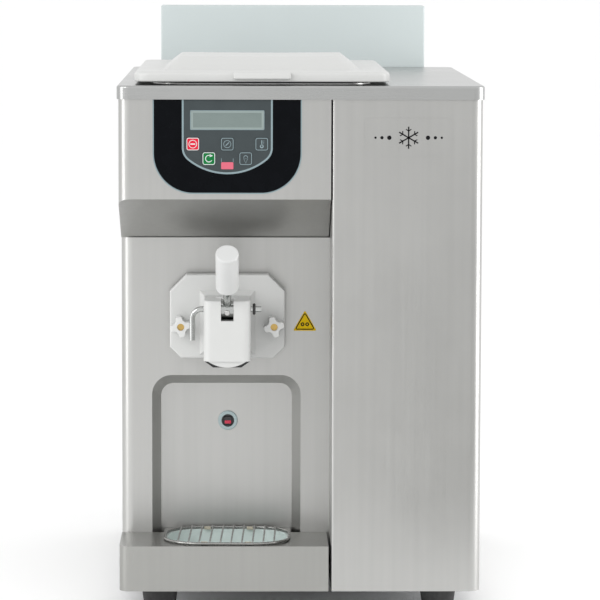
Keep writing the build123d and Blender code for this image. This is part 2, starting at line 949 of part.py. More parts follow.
def make_control_board():
    """Circuit board on four posts, with the display, the key switches and two chips."""
    face = body_front + sheet + board_gap
    half = keypad_half + board_side
    low = keypad_bottom - board_below
    high = display_top + board_above
    board = block(overlay_x - half, overlay_x + half, face, face + board_thick, low, high)
    for x in (overlay_x - half + post_inset, overlay_x + half - post_inset):
        for z in (low + post_inset, high - post_inset):
            board += rod_y(x, z, post_radius, body_front + sheet, face)
    display_half = display_width / 2 + window_margin / 2
    board += block(
        overlay_x - display_half, overlay_x + display_half, body_front + window_lip, face,
        display_bottom - window_margin, display_top + window_margin / 2,
    )
    contact = body_front + gap + flange_thick + key_travel + gap
    for x, z in key_places().values():
        board += rod_y(x, z, key_switch_radius, contact, face)
    chip_low = (low + high - chip_size) / 2
    for offset in chip_x:
        x = overlay_x + offset
        board += block(
            x, x + chip_size, face + board_thick, face + board_thick + chip_height, chip_low,
            chip_low + chip_size,
        )
    return board


# ---- switch ----
def make_switch_bezel():
    """Pale ring that clamps the switch in the niche."""
    front = niche_floor - switch_proud
    ring = rod_y(switch_x, switch_z, switch_ring / 2, front, niche_floor)
    ring = fillet(ring.edges().filter_by(GeomType.CIRCLE).sort_by(Axis.Y)[0], bezel_round)
    return ring - rod_y(switch_x, switch_z, switch_disc / 2, front - eps, niche_floor + eps)


def make_switch_body():
    """Black switch barrel with a square pocket for the rocker."""
    front = niche_floor - switch_proud + 2 * gap
    barrel = rod_y(switch_x, switch_z, switch_disc / 2, front, front + switch_length)
    pocket = rocker_size / 2 + 2 * gap
    barrel -= block(
        switch_x - pocket, switch_x + pocket, front - eps, front + rocker_pocket,
        switch_z - pocket, switch_z + pocket,
    )
    return barrel


def make_switch_rocker():
    """Rocker that tips about a level axis through its body."""
    front = niche_floor - switch_proud - gap
    half = rocker_size / 2
    rocker = block(
        switch_x - half, switch_x + half, front, front + rocker_depth, switch_z - half, switch_z + half,
    )
    return fillet(rocker.edges().filter_by(Axis.Y), rocker_corner)


# ---- dispensing head ----
def knob_places():
    """X of the two star knobs."""
    return (cylinder_x - knob_spacing / 2, cylinder_x + knob_spacing / 2)


def plate_outline():
    """Head plate's outline with cut corners."""
    left = cylinder_x - head_width / 2
    right = cylinder_x + head_width / 2
    a = head_chamfer_top
    b = head_chamfer_bottom
    return Polygon(
        (left + b, head_bottom), (right - b, head_bottom), (right, head_bottom + b), (right, head_top - a),
        (right - a, head_top), (left + a, head_top), (left, head_top - a), (left, head_bottom + b),
        align=None,
    )


def make_head_body():
    """White dispensing head: plate, block with the piston bore, lever slot and spout."""
    head = facing(plate_outline(), head_front, head_back)
    head = fillet(head.faces().sort_by(Axis.Y)[0].edges(), plate_round)
    half = block_width / 2
    nose = rise(
        plan(
            cylinder_x - half, cylinder_x + half, block_front, head_front + eps,
            fl=block_corner, fr=block_corner,
        ),
        block_bottom, block_top,
    )
    nose = fillet(nose.faces().sort_by(Axis.Z)[-1].edges().sort_by(Axis.Y)[:-1], block_round)
    web = facing(
        head_rectangle(half + block_fillet, block_bottom, block_top + block_fillet),
        head_front - block_fillet, head_front + eps,
    )
    web = chamfer(web.faces().sort_by(Axis.Y)[0].edges(), block_fillet - web_edge)
    head += nose + web + spout_lip()
    head += Pos(cylinder_x, bore_y, block_bottom - spout_drop / 2) * Cone(
        spout_tip_radius, spout_radius, spout_drop
    )
    spigot_back = cylinder_front + spigot_length
    head += rod_y(cylinder_x, cylinder_z, spigot_radius, head_back, spigot_back)
    inner_radius = cylinder_bore / 2 - spigot_shell
    head -= rod_y(cylinder_x, cylinder_z, inner_radius, head_back + block_round, spigot_back + eps)
    bore = piston_diameter / 2
    head -= rod_z(
        cylinder_x, bore_y, bore, piston_bottom - piston_clear, block_top + block_fillet + eps,
    )
    head -= rod_z(cylinder_x, bore_y, outlet_radius, block_bottom - spout_drop - eps, piston_bottom)
    head -= rod_y(cylinder_x, piston_bottom + duct_height, duct_radius, bore_y, spigot_back + eps)
    left = cylinder_x - slot_width / 2
    right = cylinder_x + slot_width / 2
    head -= block(left, right, block_front - eps, bore_y, slot_floor, block_top + 2 * block_fillet)
    inner_floor = tip_z - tip_diameter / 2 - tip_play
    head -= block(left, right, pin_y + hub_radius, bore_y, inner_floor, slot_floor + eps)
    head -= rod_x(pin_y, pin_z, pin_diameter / 2, cylinder_x - half - eps, cylinder_x + half + eps)
    for x in knob_places():
        head -= rod_y(x, knob_z, stud_diameter / 2 + gap, head_front - eps, head_back + eps)
    return head - seal_groove(spigot_radius + eps)


def spout_lip():
    """Rounded lip in front of the spout, its lower edge an arc."""
    front = block_front + lip_inset
    lines = [
        Line((cylinder_x - lip_half, block_bottom), (cylinder_x + lip_half, block_bottom)),
        ThreePointArc(
            (cylinder_x + lip_half, block_bottom), (cylinder_x, block_bottom - lip_drop),
            (cylinder_x - lip_half, block_bottom),
        ),
    ]
    return facing(make_face(Curve() + lines), front, front + lip_thick)


def seal_groove(outer_radius):
    """Ring about the cylinder's axis that fills the groove of the spigot."""
    front = head_back + groove_start
    ring = rod_y(cylinder_x, cylinder_z, outer_radius, front, front + groove_width)
    floor_radius = spigot_radius - groove_depth
    return ring - rod_y(cylinder_x, cylinder_z, floor_radius, front - eps, front + groove_width + eps)


def head_rectangle(half, bottom, top):
    """Plain rectangle seen from the front, about the head's middle."""
    return Polygon(
        (cylinder_x - half, bottom), (cylinder_x + half, bottom), (cylinder_x + half, top),
        (cylinder_x - half, top), align=None,
    )


def make_head_gasket():
    """Seal ring in the groove of the head's spigot, against the cylinder's bore."""
    return seal_groove(cylinder_bore / 2)


def make_nozzle_ring():
    """Black holder round the spout under the block, narrower at its lower edge."""
    top = ring_top_width / 2
    low = ring_bottom_width / 2
    outline = Polygon(
        (cylinder_x - low, block_bottom - ring_drop), (cylinder_x + low, block_bottom - ring_drop),
        (cylinder_x + top, block_bottom), (cylinder_x - top, block_bottom), align=None,
    )
    holder = facing(outline, block_front + ring_inset, head_front)
    holder -= rod_z(cylinder_x, bore_y, spout_radius, block_bottom - 2 * ring_drop, block_bottom + eps)
    return holder - spout_lip()


def make_pivot_pin():
    """Bent rod through the block; its left end is turned down as a handle."""
    route = FilletPolyline(
        (pin_right, pin_y, pin_z), (pin_left, pin_y, pin_z), (pin_left, pin_y, pin_end_z), radius=pin_bend,
    )
    start = Plane(origin=(pin_right, pin_y, pin_z), z_dir=(-1, 0, 0))
    return sweep(start * Circle(pin_diameter / 2), path=route)


def make_pin_oring():
    """Ring that keeps the pivot pin in place."""
    ring = Torus((pin_diameter + pin_ring_wire) / 2, pin_ring_wire / 2)
    return Pos(pin_ring_x, pin_y, pin_z) * Rot(0, 90, 0) * ring


def make_head_studs():
    """Two studs that hold the head, under the star knobs."""
    studs = []
    for x in knob_places():
        studs.append(rod_y(x, knob_z, stud_diameter / 2, head_front - stud_reach, cylinder_front))
    return Compound(studs)


def make_piston():
    """Spool that opens the outlet when the lever lifts it."""
    spool = rod_z(cylinder_x, bore_y, piston_diameter / 2 - fit, piston_bottom, piston_top)
    spool = fillet(spool.edges().filter_by(GeomType.CIRCLE).sort_by(Axis.Z)[-1], piston_round)
    half = slot_width / 2
    window_back = pin_y + tip_arm + tip_diameter / 2 + 2 * tip_play
    window_low, window_high = piston_window()
    spool -= block(
        cylinder_x - half, cylinder_x + half, bore_y - piston_diameter, window_back,
        window_low, window_high,
    )
    for height in seal_places:
        spool -= seal_ring(piston_bottom + height)
    return spool


def piston_window():
    """Heights of the piston's window, clear of the lever's tip and of its neck at both ends of the swing."""
    reach = bore_y - piston_diameter / 2 - pin_y
    droop = math.radians(tip_droop)
    raised = math.radians(lever_swing - tip_droop)
    neck_high = pin_z - reach * math.tan(droop) + tip_neck / 2 / math.cos(droop)
    neck_low = pin_z + reach * math.tan(raised) - tip_neck / 2 / math.cos(raised) - piston_travel
    tip_low = tip_z - tip_diameter / 2
    tip_high = tip_z + tip_diameter / 2
    return min(tip_low, neck_low) - tip_play, max(tip_high, neck_high) + tip_play


def seal_ring(z):
    """Square ring in a groove of the piston."""
    ring = rod_z(cylinder_x, bore_y, piston_diameter / 2 - fit, z, z + seal_height)
    inner = rod_z(cylinder_x, bore_y, piston_diameter / 2 - seal_depth, z - eps, z + seal_height + eps)
    return ring - inner


def make_piston_orings():
    """Two seal rings of the piston."""
    return Compound([seal_ring(piston_bottom + height) for height in seal_places])


# ---- lever ----
def along_lever(distance):
    """Point on the lever's axis at a distance from its pivot."""
    return (cylinder_x, pin_y - distance * math.cos(grip_slant), pin_z + distance * math.sin(grip_slant))


def lever_rod(radius, start, end):
    """Round bar along the lever's axis."""
    heading = (0, -math.cos(grip_slant), math.sin(grip_slant))
    plane = Plane(origin=along_lever(start), x_dir=(1, 0, 0), z_dir=heading)
    return extrude(plane * Circle(radius), amount=end - start)


def make_lever():
    """Steel hub on the pivot pin, with the stem forwards and the piston finger backwards."""
    half = slot_width / 2 - gap
    hub = rod_x(pin_y, pin_z, hub_radius, cylinder_x - half, cylinder_x + half)
    stem = lever_rod(stem_diameter / 2, 0, grip_end - stem_end)
    tip_y = pin_y + tip_arm * math.cos(math.radians(tip_droop))
    disc = rod_x(tip_y, tip_z, tip_diameter / 2, cylinder_x - half, cylinder_x + half)
    neck = Pos(cylinder_x, (pin_y + tip_y) / 2, (pin_z + tip_z) / 2) * Rot(-tip_droop, 0, 0) * Box(
        2 * half, tip_arm, tip_neck
    )
    lever = hub + stem + disc + neck
    lever -= rod_x(pin_y, pin_z, pin_diameter / 2 + fit, cylinder_x - slot_width, cylinder_x + slot_width)
    flat = pin_y - hub_radius + hub_flat
    lever -= block(
        cylinder_x - half - eps, cylinder_x + half + eps, flat - hub_radius, flat, pin_z - hub_radius,
        pin_z - gap,
    )
    lever -= rod_y(cylinder_x, pin_z - screw_drop, screw_diameter / 3, flat - eps, flat + screw_depth)
    return lever


def make_lever_grip():
    """White round grip pressed over the stem."""
    grip = lever_rod(grip_diameter / 2, grip_start, grip_end)
    ends = grip.edges().filter_by(GeomType.CIRCLE).sort_by(Axis.Z)
    grip = fillet(ends[-1], grip_round)
    low = grip.edges().filter_by(GeomType.CIRCLE).sort_by(Axis.Z)[0]
    grip = chamfer(low, grip_chamfer)
    return grip - lever_rod(stem_diameter / 2, grip_start - eps, grip_end - stem_end)


def make_adjusting_screw():
    """Small screw in the front of the lever's hub."""
    flat = pin_y - hub_radius + hub_flat
    z = pin_z - screw_drop
    screw = rod_y(cylinder_x, z, screw_diameter / 2, flat - screw_head, flat)
    screw = fillet(screw.edges().filter_by(GeomType.CIRCLE).sort_by(Axis.Y)[0], screw_round)
    return screw + rod_y(cylinder_x, z, screw_diameter / 3, flat, flat + screw_depth)


# ---- star knobs ----
def make_star_knob(x, turn):
    """Four-lobed knob; turn sets the direction of its first lobe."""
    bar = RectangleRounded(2 * knob_radius, knob_lobe, knob_lobe_round)
    outline = bar + Rot(0, 0, 90) * bar
    valleys = outline.vertices().sort_by_distance((0, 0, 0))[:4]
    outline = Pos(x, knob_z) * Rot(0, 0, turn) * fillet(valleys, knob_valley)
    knob = facing(outline, head_front - knob_length, head_front - gap)
    knob = fillet(knob.faces().sort_by(Axis.Y)[0].edges(), knob_edge)
    knob -= rod_y(x, knob_z, knob_bore / 2, head_front - knob_length - eps, head_front)
    return knob


def make_knob_insert(x):
    """Brass insert, blind at the front, that turns on the stud."""
    front = head_front - knob_length + knob_recess
    insert = rod_y(x, knob_z, knob_bore / 2, front, head_front - gap)
    return insert - rod_y(x, knob_z, stud_diameter / 2 + fit, front + insert_face, head_front)


# ---- drip tray ----
def grid_outline(inset):
    """Rounded outline of the grid seen from above, drawn in by inset."""
    outline = RectangleRounded(grid_width - 2 * inset, grid_depth - 2 * inset, grid_corner - inset)
    return Pos(cylinder_x, grid_y) * Rot(0, 0, -grid_turn) * outline


def make_drip_tray():
    """Steel tray front with a basin let into its top and a tongue into the niche."""
    w = tray_wall
    back = recess_y - tray_back_gap
    tab_back = recess_y + tab_depth
    under = base_top + gap
    tray = rise(plan(tray_left, tray_right, body_front, back, fl=corner_radius), 0, tray_height)
    tray -= rise(
        plan(tray_left + w, tray_right - w, body_front + w, back + eps, fl=corner_radius - w),
        -eps, tray_height - w,
    )
    tray -= block(
        tray_left - eps, tray_right + eps, body_front + corner_radius + w, back + eps, -eps, under,
    )
    tray += block(tray_left + w, tray_right - w, back - w, back, under, tray_height)
    tab_bottom = tray_height - basin_depth - w
    left = cylinder_x - tab_half
    right = cylinder_x + tab_half
    tray += block(left, right, back - w, tab_back, tab_bottom, tray_height)
    tray -= block(left + w, right - w, back - 2 * w, tab_back - w, tab_bottom - eps, tray_height - w)
    tray += rise(grid_outline(basin_margin - w), tab_bottom, tray_height)
    tray -= rise(grid_outline(basin_margin), tray_height - basin_depth, tray_height + eps)
    return tray


def make_drip_grid():
    """Rounded wire ring with straight rods laid over it from front to back."""
    low = tray_height + gap
    centre = low + grid_wire + grid_rod_wire / 4
    ring = rise(grid_outline(0), low, low + grid_wire)
    ring -= rise(grid_outline(grid_wire), low - eps, low + grid_wire + eps)
    ring = fillet(ring.edges(), grid_wire / 3)
    pitch = grid_width / (grid_rods + 2)
    straight = grid_width / 2 - grid_corner
    rods = []
    for index in range(grid_rods):
        x = (index - (grid_rods - 1) / 2) * pitch
        beyond = max(abs(x) - straight, 0)
        reach = grid_depth / 2 - grid_corner + math.sqrt(grid_corner ** 2 - beyond ** 2) - grid_wire / 2
        rod = rod_y(x, centre, grid_rod_wire / 2, -reach, reach)
        rods.append(Pos(cylinder_x, grid_y, 0) * Rot(0, 0, -grid_turn) * rod)
    for rod in rods:
        ring += rod
    return ring


def make_grid_pads():
    """Four small pads inside the wire ring, under its rods."""
    low = tray_height + gap
    high = low + grid_wire - grid_rod_wire / 4
    side = grid_depth / 2 - grid_wire - pad_length / 2
    spread = grid_width / 2 - grid_corner - pad_width / 2
    pads = []
    for x in (-spread, spread):
        for y in (-side, side):
            pad = Pos(x, y, (low + high) / 2) * Box(pad_width, pad_length, high - low)
            pads.append(Pos(cylinder_x, grid_y, 0) * Rot(0, 0, -grid_turn) * pad)
    return Compound(pads)


# ---- cylinder, beater and drive ----
def make_freezing_cylinder():
    """Steel barrel with a front flange and a back wall bored for the shaft."""
    wall_front = cylinder_back - back_wall
    barrel = rod_y(cylinder_x, cylinder_z, cylinder_radius, cylinder_front - sheet, cylinder_back)
    barrel += rod_y(
        cylinder_x, cylinder_z, cylinder_flange / 2, cylinder_front, cylinder_front + flange_depth,
    )
    barrel -= rod_y(cylinder_x, cylinder_z, cylinder_bore / 2, cylinder_front - 2 * sheet, wall_front)
    barrel -= rod_y(
        cylinder_x, cylinder_z, shaft_diameter / 2 + fit, wall_front - eps, cylinder_back + eps,
    )
    barrel -= rod_z(cylinder_x, inlet_y, feed_radius, cylinder_z, cylinder_z + 2 * cylinder_radius)
    return barrel


def make_cylinder_insulation():
    """Foam block round the barrel."""
    half = cylinder_radius + insulation
    foam = block(
        cylinder_x - half, cylinder_x + half, inlet_y + insulation_back, cylinder_back - insulation_end,
        cylinder_z - half, cylinder_z + half,
    )
    return foam - rod_y(cylinder_x, cylinder_z, cylinder_radius, inlet_y, cylinder_back)


def make_beater():
    """Two scraper bars and stepped helical paddles round a core."""
    front = cylinder_front + beater_front
    back = cylinder_back - beater_end
    reach = cylinder_bore / 2 - beater_play
    bar_end = 2 * scraper_half
    core = rod_y(0, 0, beater_core_radius, front, back)
    for angle in (0.0, 180.0):
        bar = block(
            reach - scraper_width, reach, front + bar_end, back - bar_end, -scraper_half, scraper_half,
        )
        core += Rot(0, angle, 0) * bar
    tip = reach - scraper_width / 2
    first = front + scraper_width
    length = back - scraper_width - first
    for index in range(paddle_count):
        y = first + length * index / (paddle_count - 1)
        paddle = block(-tip, tip, y - paddle_half, y + paddle_half, -paddle_height, paddle_height)
        core += Rot(0, index * 180.0 / paddle_count, 0) * paddle
    core = Pos(cylinder_x, 0, cylinder_z) * core
    return core - rod_y(cylinder_x, cylinder_z, shaft_diameter / 2, back - shaft_grip, back + eps)


def make_drive_shaft():
    """Shaft from the gear motor through the cylinder's back wall into the beater."""
    front = cylinder_back - beater_end - shaft_grip
    return rod_y(cylinder_x, cylinder_z, shaft_diameter / 2, front, gearbox_front + shaft_grip)


def make_gear_motor():
    """Gearbox and motor in one unit, on a shelf from the bulkhead."""
    back = gearbox_front + gearbox_length
    h = gearbox_half
    unit = block(cylinder_x - h, cylinder_x + h, gearbox_front, back, cylinder_z - h, cylinder_z + h)
    unit = fillet(unit.edges().filter_by(Axis.Y), gearbox_round)
    unit += rod_y(cylinder_x, cylinder_z, motor_radius, back, back + motor_length)
    for index in range(motor_fins):
        fin = block(
            motor_radius - eps, motor_radius + fin_height, back + fin_start, back + motor_length - fin_end,
            -fin_half, fin_half,
        )
        unit += Pos(cylinder_x, 0, cylinder_z) * Rot(0, index * 360.0 / motor_fins, 0) * fin
    shelf_top = cylinder_z - h
    unit += block(cylinder_x - h, column_left, gearbox_front, back, shelf_top - shelf_thick, shelf_top)
    pocket_back = gearbox_front + shaft_grip + eps
    unit -= rod_y(cylinder_x, cylinder_z, shaft_diameter / 2 + fit, gearbox_front - eps, pocket_back)
    return unit


# ---- cooling system ----
compressor_y = recess_y + compressor_back
compressor_top = base_top + mount_height + compressor_height
condenser_front = body_back - condenser_back
condenser_low = base_top + condenser_base
condenser_top = condenser_low + condenser_height
fan_z = condenser_low + condenser_height / 2
fan_y = condenser_front - fan_back - fan_width / 2
shroud_front = condenser_front - fan_width - shroud_margin


def make_compressor():
    """Sealed compressor on a footplate."""
    y = compressor_y
    low = base_top + mount_height
    shell = rod_z(compartment_x, y, compressor_radius, low + plate_thick, compressor_top)
    shell = fillet(shell.edges().filter_by(GeomType.CIRCLE).sort_by(Axis.Z)[-1], compressor_round)
    half = compressor_radius + plate_margin
    shell += block(compartment_x - half, compartment_x + half, y - half, y + half, low, low + plate_thick)
    offset = half - mount_inset
    for x in (compartment_x - offset, compartment_x + offset):
        for place in (y - offset, y + offset):
            shell += rod_z(x, place, mount_radius, base_top, low)
    return shell


def make_condenser():
    """Finned condenser block on two legs."""
    half = condenser_width / 2
    back = condenser_front + condenser_thick
    core = block(
        compartment_x - half, compartment_x + half, condenser_front, back, condenser_low, condenser_top,
    )
    pitch = condenser_height / fin_count
    for index in range(fin_count):
        z = condenser_low + (index + 0.5) * pitch
        core -= block(
            compartment_x - half + condenser_end, compartment_x + half - condenser_end,
            condenser_front - eps, condenser_front + fin_slot_depth, z - pitch / 4, z + pitch / 4,
        )
    for side in (-1, 1):
        inner = compartment_x + side * (half - 2 * condenser_leg)
        outer = compartment_x + side * half
        core += block(
            min(inner, outer), max(inner, outer), condenser_front + condenser_leg, back - condenser_leg,
            base_top, condenser_low,
        )
    return core


def make_fan_shroud():
    """Square plate with a round duct in front of the condenser."""
    half = condenser_width / 2
    plate = block(
        compartment_x - half, compartment_x + half, shroud_front, condenser_front, fan_z - half, fan_z + half,
    )
    duct = rod_y(compartment_x, fan_z, fan_radius + fan_play, shroud_front - eps, condenser_front + eps)
    return plate - duct


def make_fan_blades():
    """Hub with pitched blades."""
    front = fan_y - fan_width / 2
    back = fan_y + fan_width / 2
    hub = rod_y(0, 0, fan_hub, front, back)
    for index in range(blade_count):
        inner = fan_hub - blade_thick
        blade = Box(fan_radius - inner, blade_thick, blade_chord)
        blade = Pos((fan_radius + inner) / 2, fan_y, 0) * Rot(blade_pitch, 0, 0) * blade
        hub += Rot(0, index * 360.0 / blade_count, 0) * blade
    hub -= rod_y(0, 0, fan_shaft + fit, front - eps, back - fan_cap)
    return Pos(compartment_x, 0, fan_z) * hub


def make_fan_motor():
    """Small motor in front of the fan, on an arm across the shroud."""
    face = fan_y - fan_width / 2 - fan_play
    motor = rod_y(compartment_x, fan_z, fan_motor_radius, face - fan_motor_length, face)
    motor += rod_y(compartment_x, fan_z, fan_shaft, face, fan_y + fan_width / 2 - 2 * fan_cap)
    half = condenser_width / 2
    motor += block(
        compartment_x - half, compartment_x + half, shroud_front - arm_thick, shroud_front,
        fan_z - arm_half, fan_z + arm_half,
    )
    return motor


def refrigerant_line(points):
    """Round pipe along a route with bends."""
    route = FilletPolyline(*points, radius=line_bend)
    first = Vector(*points[0])
    heading = Vector(*points[1]) - first
    return sweep(Plane(origin=first, z_dir=heading) * Circle(line_diameter / 2), path=route)


def make_refrigerant_lines():
    """Discharge, liquid and suction lines, and the drier on the liquid line."""
    middle = condenser_front + condenser_thick / 2
    foam_top = cylinder_z + cylinder_radius + insulation
    high = hopper_floor - line_below_hopper
    near = compartment_x - line_spread
    far = compartment_x + line_spread
    side = near - line_side
    over = condenser_top + line_side
    down = cylinder_x + line_side
    behind = compressor_y + line_behind
    back = cylinder_x - line_spread
    discharge = refrigerant_line(
        [(near, compressor_y, compressor_top), (near, compressor_y, over), (near, middle, over),
         (near, middle, condenser_top)]
    )
    liquid = refrigerant_line(
        [(side, middle, condenser_top), (side, middle, high), (side, behind, high), (down, behind, high),
         (down, behind, foam_top)]
    )
    suction = refrigerant_line(
        [(back, compressor_y, foam_top), (back, compressor_y, high), (far, compressor_y, high),
         (far, compressor_y, compressor_top)]
    )
    drier = rod_y(side, high, drier_radius, middle - drier_start, middle - drier_end)
    return Compound([discharge, liquid + drier, suction])


def make_electrical_box():
    """Box for the contactor and the terminals, on the base pan."""
    left = -body_half + box_left_gap
    right = column_left - box_right_gap
    front = recess_y + box_front
    back = front + box_length
    w = box_wall
    case = block(left, right, front, back, base_top, box_top)
    case = fillet(case.edges().filter_by(Axis.Z), box_corner)
    return case - block(left + w, right - w, front + w, back - w, base_top + w, box_top - w)


# ---- small outside pieces ----
def make_cable_gland():
    """Cable inlet in the back panel."""
    gland = rod_y(gland_x, gland_z, gland_thread, body_back - sheet - gland_inside, body_back)
    hexagon = RegularPolygon(gland_hexagon, 6)
    nut_back = body_back + gland_nut
    gland += facing(Pos(gland_x, gland_z) * hexagon, body_back, nut_back)
    gland += Pos(gland_x, nut_back + gland_cone / 2, gland_z) * Rot(-90, 0, 0) * Cone(
        gland_cone_base, gland_cone_tip, gland_cone
    )
    front = body_back - sheet - gland_inside - eps
    return gland - rod_y(gland_x, gland_z, gland_bore, front, nut_back + gland_cone + eps)


def make_warning_label():
    """Triangular plate with rounded corners on the recessed panel."""
    outline = Polygon(
        (label_x - label_half, label_low), (label_x + label_half, label_low), (label_x, label_apex),
        align=None,
    )
    return facing(fillet(outline.vertices(), label_round), recess_y - label_thick, recess_y)


def make_badge():
    """Plain rounded plate on the column."""
    outline = rounded(badge_width, badge_height, badge_corner, badge_x, badge_z)
    return facing(outline, body_front - badge_thick, body_front)


os.makedirs("parts", exist_ok=True)
write("base_pan", make_base_pan())
write("feet", make_feet())
write("left_side_panel", make_left_side_panel())
write("right_column_panel", make_right_column_panel())
write("rear_panel", make_rear_panel())
write("front_panel", make_front_panel())
write("control_fascia", make_control_fascia())
write("bulkhead", make_bulkhead())
write("top_cover", make_top_cover())
write("exhaust_chimney", make_exhaust_chimney())
write("hopper_tank", make_hopper_tank())
write("hopper_gasket", make_hopper_gasket())
write("feed_tube", make_feed_tube())
write("hopper_lid", make_hopper_lid())
write("control_overlay", make_control_overlay())
write("keypad_plate", make_keypad_plate())
write("display_window", make_display_window())
write("level_indicator", make_level_indicator())
write("control_board", make_control_board())
for key_name, (key_x, key_z) in key_places().items():
    write(key_name, make_key(key_x, key_z))
write("switch_bezel", make_switch_bezel())
write("switch_body", make_switch_body())
write("switch_rocker", make_switch_rocker())
write("head_body", make_head_body())
write("head_gasket", make_head_gasket())
write("nozzle_ring", make_nozzle_ring())
write("pivot_pin", make_pivot_pin())
write("pin_oring", make_pin_oring())
write("head_studs", make_head_studs())
write("piston", make_piston())
write("piston_orings", make_piston_orings())
write("lever", make_lever())
write("lever_grip", make_lever_grip())
write("adjusting_screw", make_adjusting_screw())
for side, knob_x, turn in zip(("left", "right"), knob_places(), (left_knob_turn, right_knob_turn)):
    write("star_knob_" + side, make_star_knob(knob_x, turn))
    write("knob_insert_" + side, make_knob_insert(knob_x))
write("drip_tray", make_drip_tray())
write("drip_grid", make_drip_grid())
write("grid_pads", make_grid_pads())
write("freezing_cylinder", make_freezing_cylinder())
write("cylinder_insulation", make_cylinder_insulation())
write("beater", make_beater())
write("drive_shaft", make_drive_shaft())
write("gear_motor", make_gear_motor())
write("compressor", make_compressor())
write("condenser", make_condenser())
write("fan_shroud", make_fan_shroud())
write("fan_blades", make_fan_blades())
write("fan_motor", make_fan_motor())
write("refrigerant_lines", make_refrigerant_lines())
write("electrical_box", make_electrical_box())
write("cable_gland", make_cable_gland())
write("warning_label", make_warning_label())
write("badge", make_badge())
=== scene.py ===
import json
import math

import bmesh
import bpy
from mathutils import Matrix, Vector


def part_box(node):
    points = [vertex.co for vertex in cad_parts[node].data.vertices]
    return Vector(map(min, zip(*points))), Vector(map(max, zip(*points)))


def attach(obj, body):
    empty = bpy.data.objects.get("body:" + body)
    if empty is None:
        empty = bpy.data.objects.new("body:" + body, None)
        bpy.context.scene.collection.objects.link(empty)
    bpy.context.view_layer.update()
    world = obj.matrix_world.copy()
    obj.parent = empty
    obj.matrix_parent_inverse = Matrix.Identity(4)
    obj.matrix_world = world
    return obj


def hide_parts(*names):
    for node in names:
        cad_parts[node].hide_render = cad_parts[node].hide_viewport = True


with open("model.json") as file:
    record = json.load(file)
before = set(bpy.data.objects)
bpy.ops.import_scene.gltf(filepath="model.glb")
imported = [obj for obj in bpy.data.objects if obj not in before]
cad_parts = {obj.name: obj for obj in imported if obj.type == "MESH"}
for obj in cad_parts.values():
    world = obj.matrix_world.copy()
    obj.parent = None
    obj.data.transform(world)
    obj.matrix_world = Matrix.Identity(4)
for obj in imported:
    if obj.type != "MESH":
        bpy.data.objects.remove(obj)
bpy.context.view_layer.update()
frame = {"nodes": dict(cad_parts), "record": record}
MM = 0.001

# ---------------------------------------------------------------- places from the frame
cover_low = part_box("top_cover")[0]
tray_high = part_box("drip_tray")[1]
grid_low, grid_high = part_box("drip_grid")
lid_low, lid_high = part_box("hopper_lid")
overlay_low, overlay_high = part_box("control_overlay")
keypad_low, keypad_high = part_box("keypad_plate")
window_low, window_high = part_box("display_window")
level_low, level_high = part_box("level_indicator")
label_low, label_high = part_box("warning_label")
badge_low, badge_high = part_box("badge")
column_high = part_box("right_column_panel")[1]
side_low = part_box("left_side_panel")[0]
rear_low, rear_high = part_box("rear_panel")
FRONT = cover_low.y


# ---------------------------------------------------------------- material helpers
class Nodes:
    """Small helper that adds shader nodes to a new material."""

    def __init__(self, name):
        self.material = bpy.data.materials.new(name)
        self.material.use_nodes = True
        self.tree = self.material.node_tree
        self.shader = self.tree.nodes["Principled BSDF"]
        self.coords = self.add("ShaderNodeTexCoord").outputs["Object"]

    def add(self, kind, **settings):
        node = self.tree.nodes.new(kind)
        for key, value in settings.items():
            setattr(node, key, value)
        return node

    def link(self, source, target):
        self.tree.links.new(source, target)

    def stretched(self, scale):
        """Coordinates in metres, multiplied by a scale for each axis."""
        mapping = self.add("ShaderNodeMapping")
        mapping.inputs["Scale"].default_value = scale
        self.link(self.coords, mapping.inputs["Vector"])
        return mapping.outputs["Vector"]

    def noise(self, scale, detail=3.0, roughness=0.55, stretch=(1, 1, 1)):
        texture = self.add("ShaderNodeTexNoise")
        texture.inputs["Scale"].default_value = scale
        texture.inputs["Detail"].default_value = detail
        texture.inputs["Roughness"].default_value = roughness
        self.link(self.stretched(stretch), texture.inputs["Vector"])
        return texture.outputs["Fac"]

    def span(self, value, low, high, start=0.3, end=0.7):
        """Maps a value from start..end to low..high."""
        mapped = self.add("ShaderNodeMapRange")
        mapped.inputs["From Min"].default_value = start
        mapped.inputs["From Max"].default_value = end
        mapped.inputs["To Min"].default_value = low
        mapped.inputs["To Max"].default_value = high
        self.link(value, mapped.inputs["Value"])
        return mapped.outputs["Result"]

    def mix(self, factor, first, second):
        """Colour between two colours."""
        mixer = self.add("ShaderNodeMix", data_type="RGBA")
        mixer.inputs["A"].default_value = (*first, 1)
        mixer.inputs["B"].default_value = (*second, 1)
        self.link(factor, mixer.inputs["Factor"])
        return mixer.outputs["Result"]

    def bump(self, height, distance, strength):
        node = self.add("ShaderNodeBump")
        node.inputs["Strength"].default_value = strength
        node.inputs["Distance"].default_value = distance
        self.link(height, node.inputs["Height"])
        return node.outputs["Normal"]

    def set(self, **sockets):
        """Constants go straight on the shader's own sockets."""
        names = {"metallic": "Metallic", "roughness": "Roughness", "specular": "Specular IOR Level"}
        for key, value in sockets.items():
            self.shader.inputs[names[key]].default_value = value

    def wire(self, color=None, roughness=None, normal=None):
        for name, value in (("Base Color", color), ("Roughness", roughness), ("Normal", normal)):
            if value is not None:
                self.link(value, self.shader.inputs[name])
        return self.material


def shade(color, factor):
    """The same colour, lighter or darker."""
    return tuple(channel * factor for channel in color)


LINE_DEPTH = 0.04 * MM        # brushed lines
MARK_DEPTH = 0.02 * MM        # handling marks and the skin of mouldings
RUBBER_DEPTH = 0.1 * MM
FILM_DEPTH = 0.01 * MM
PEEL_DEPTH = 0.06 * MM
CELL_HALF_X = 37.0 * MM       # area of the display's empty text lines
CELL_HALF_Z = 7.8 * MM
CELL_EDGE = 0.4 * MM


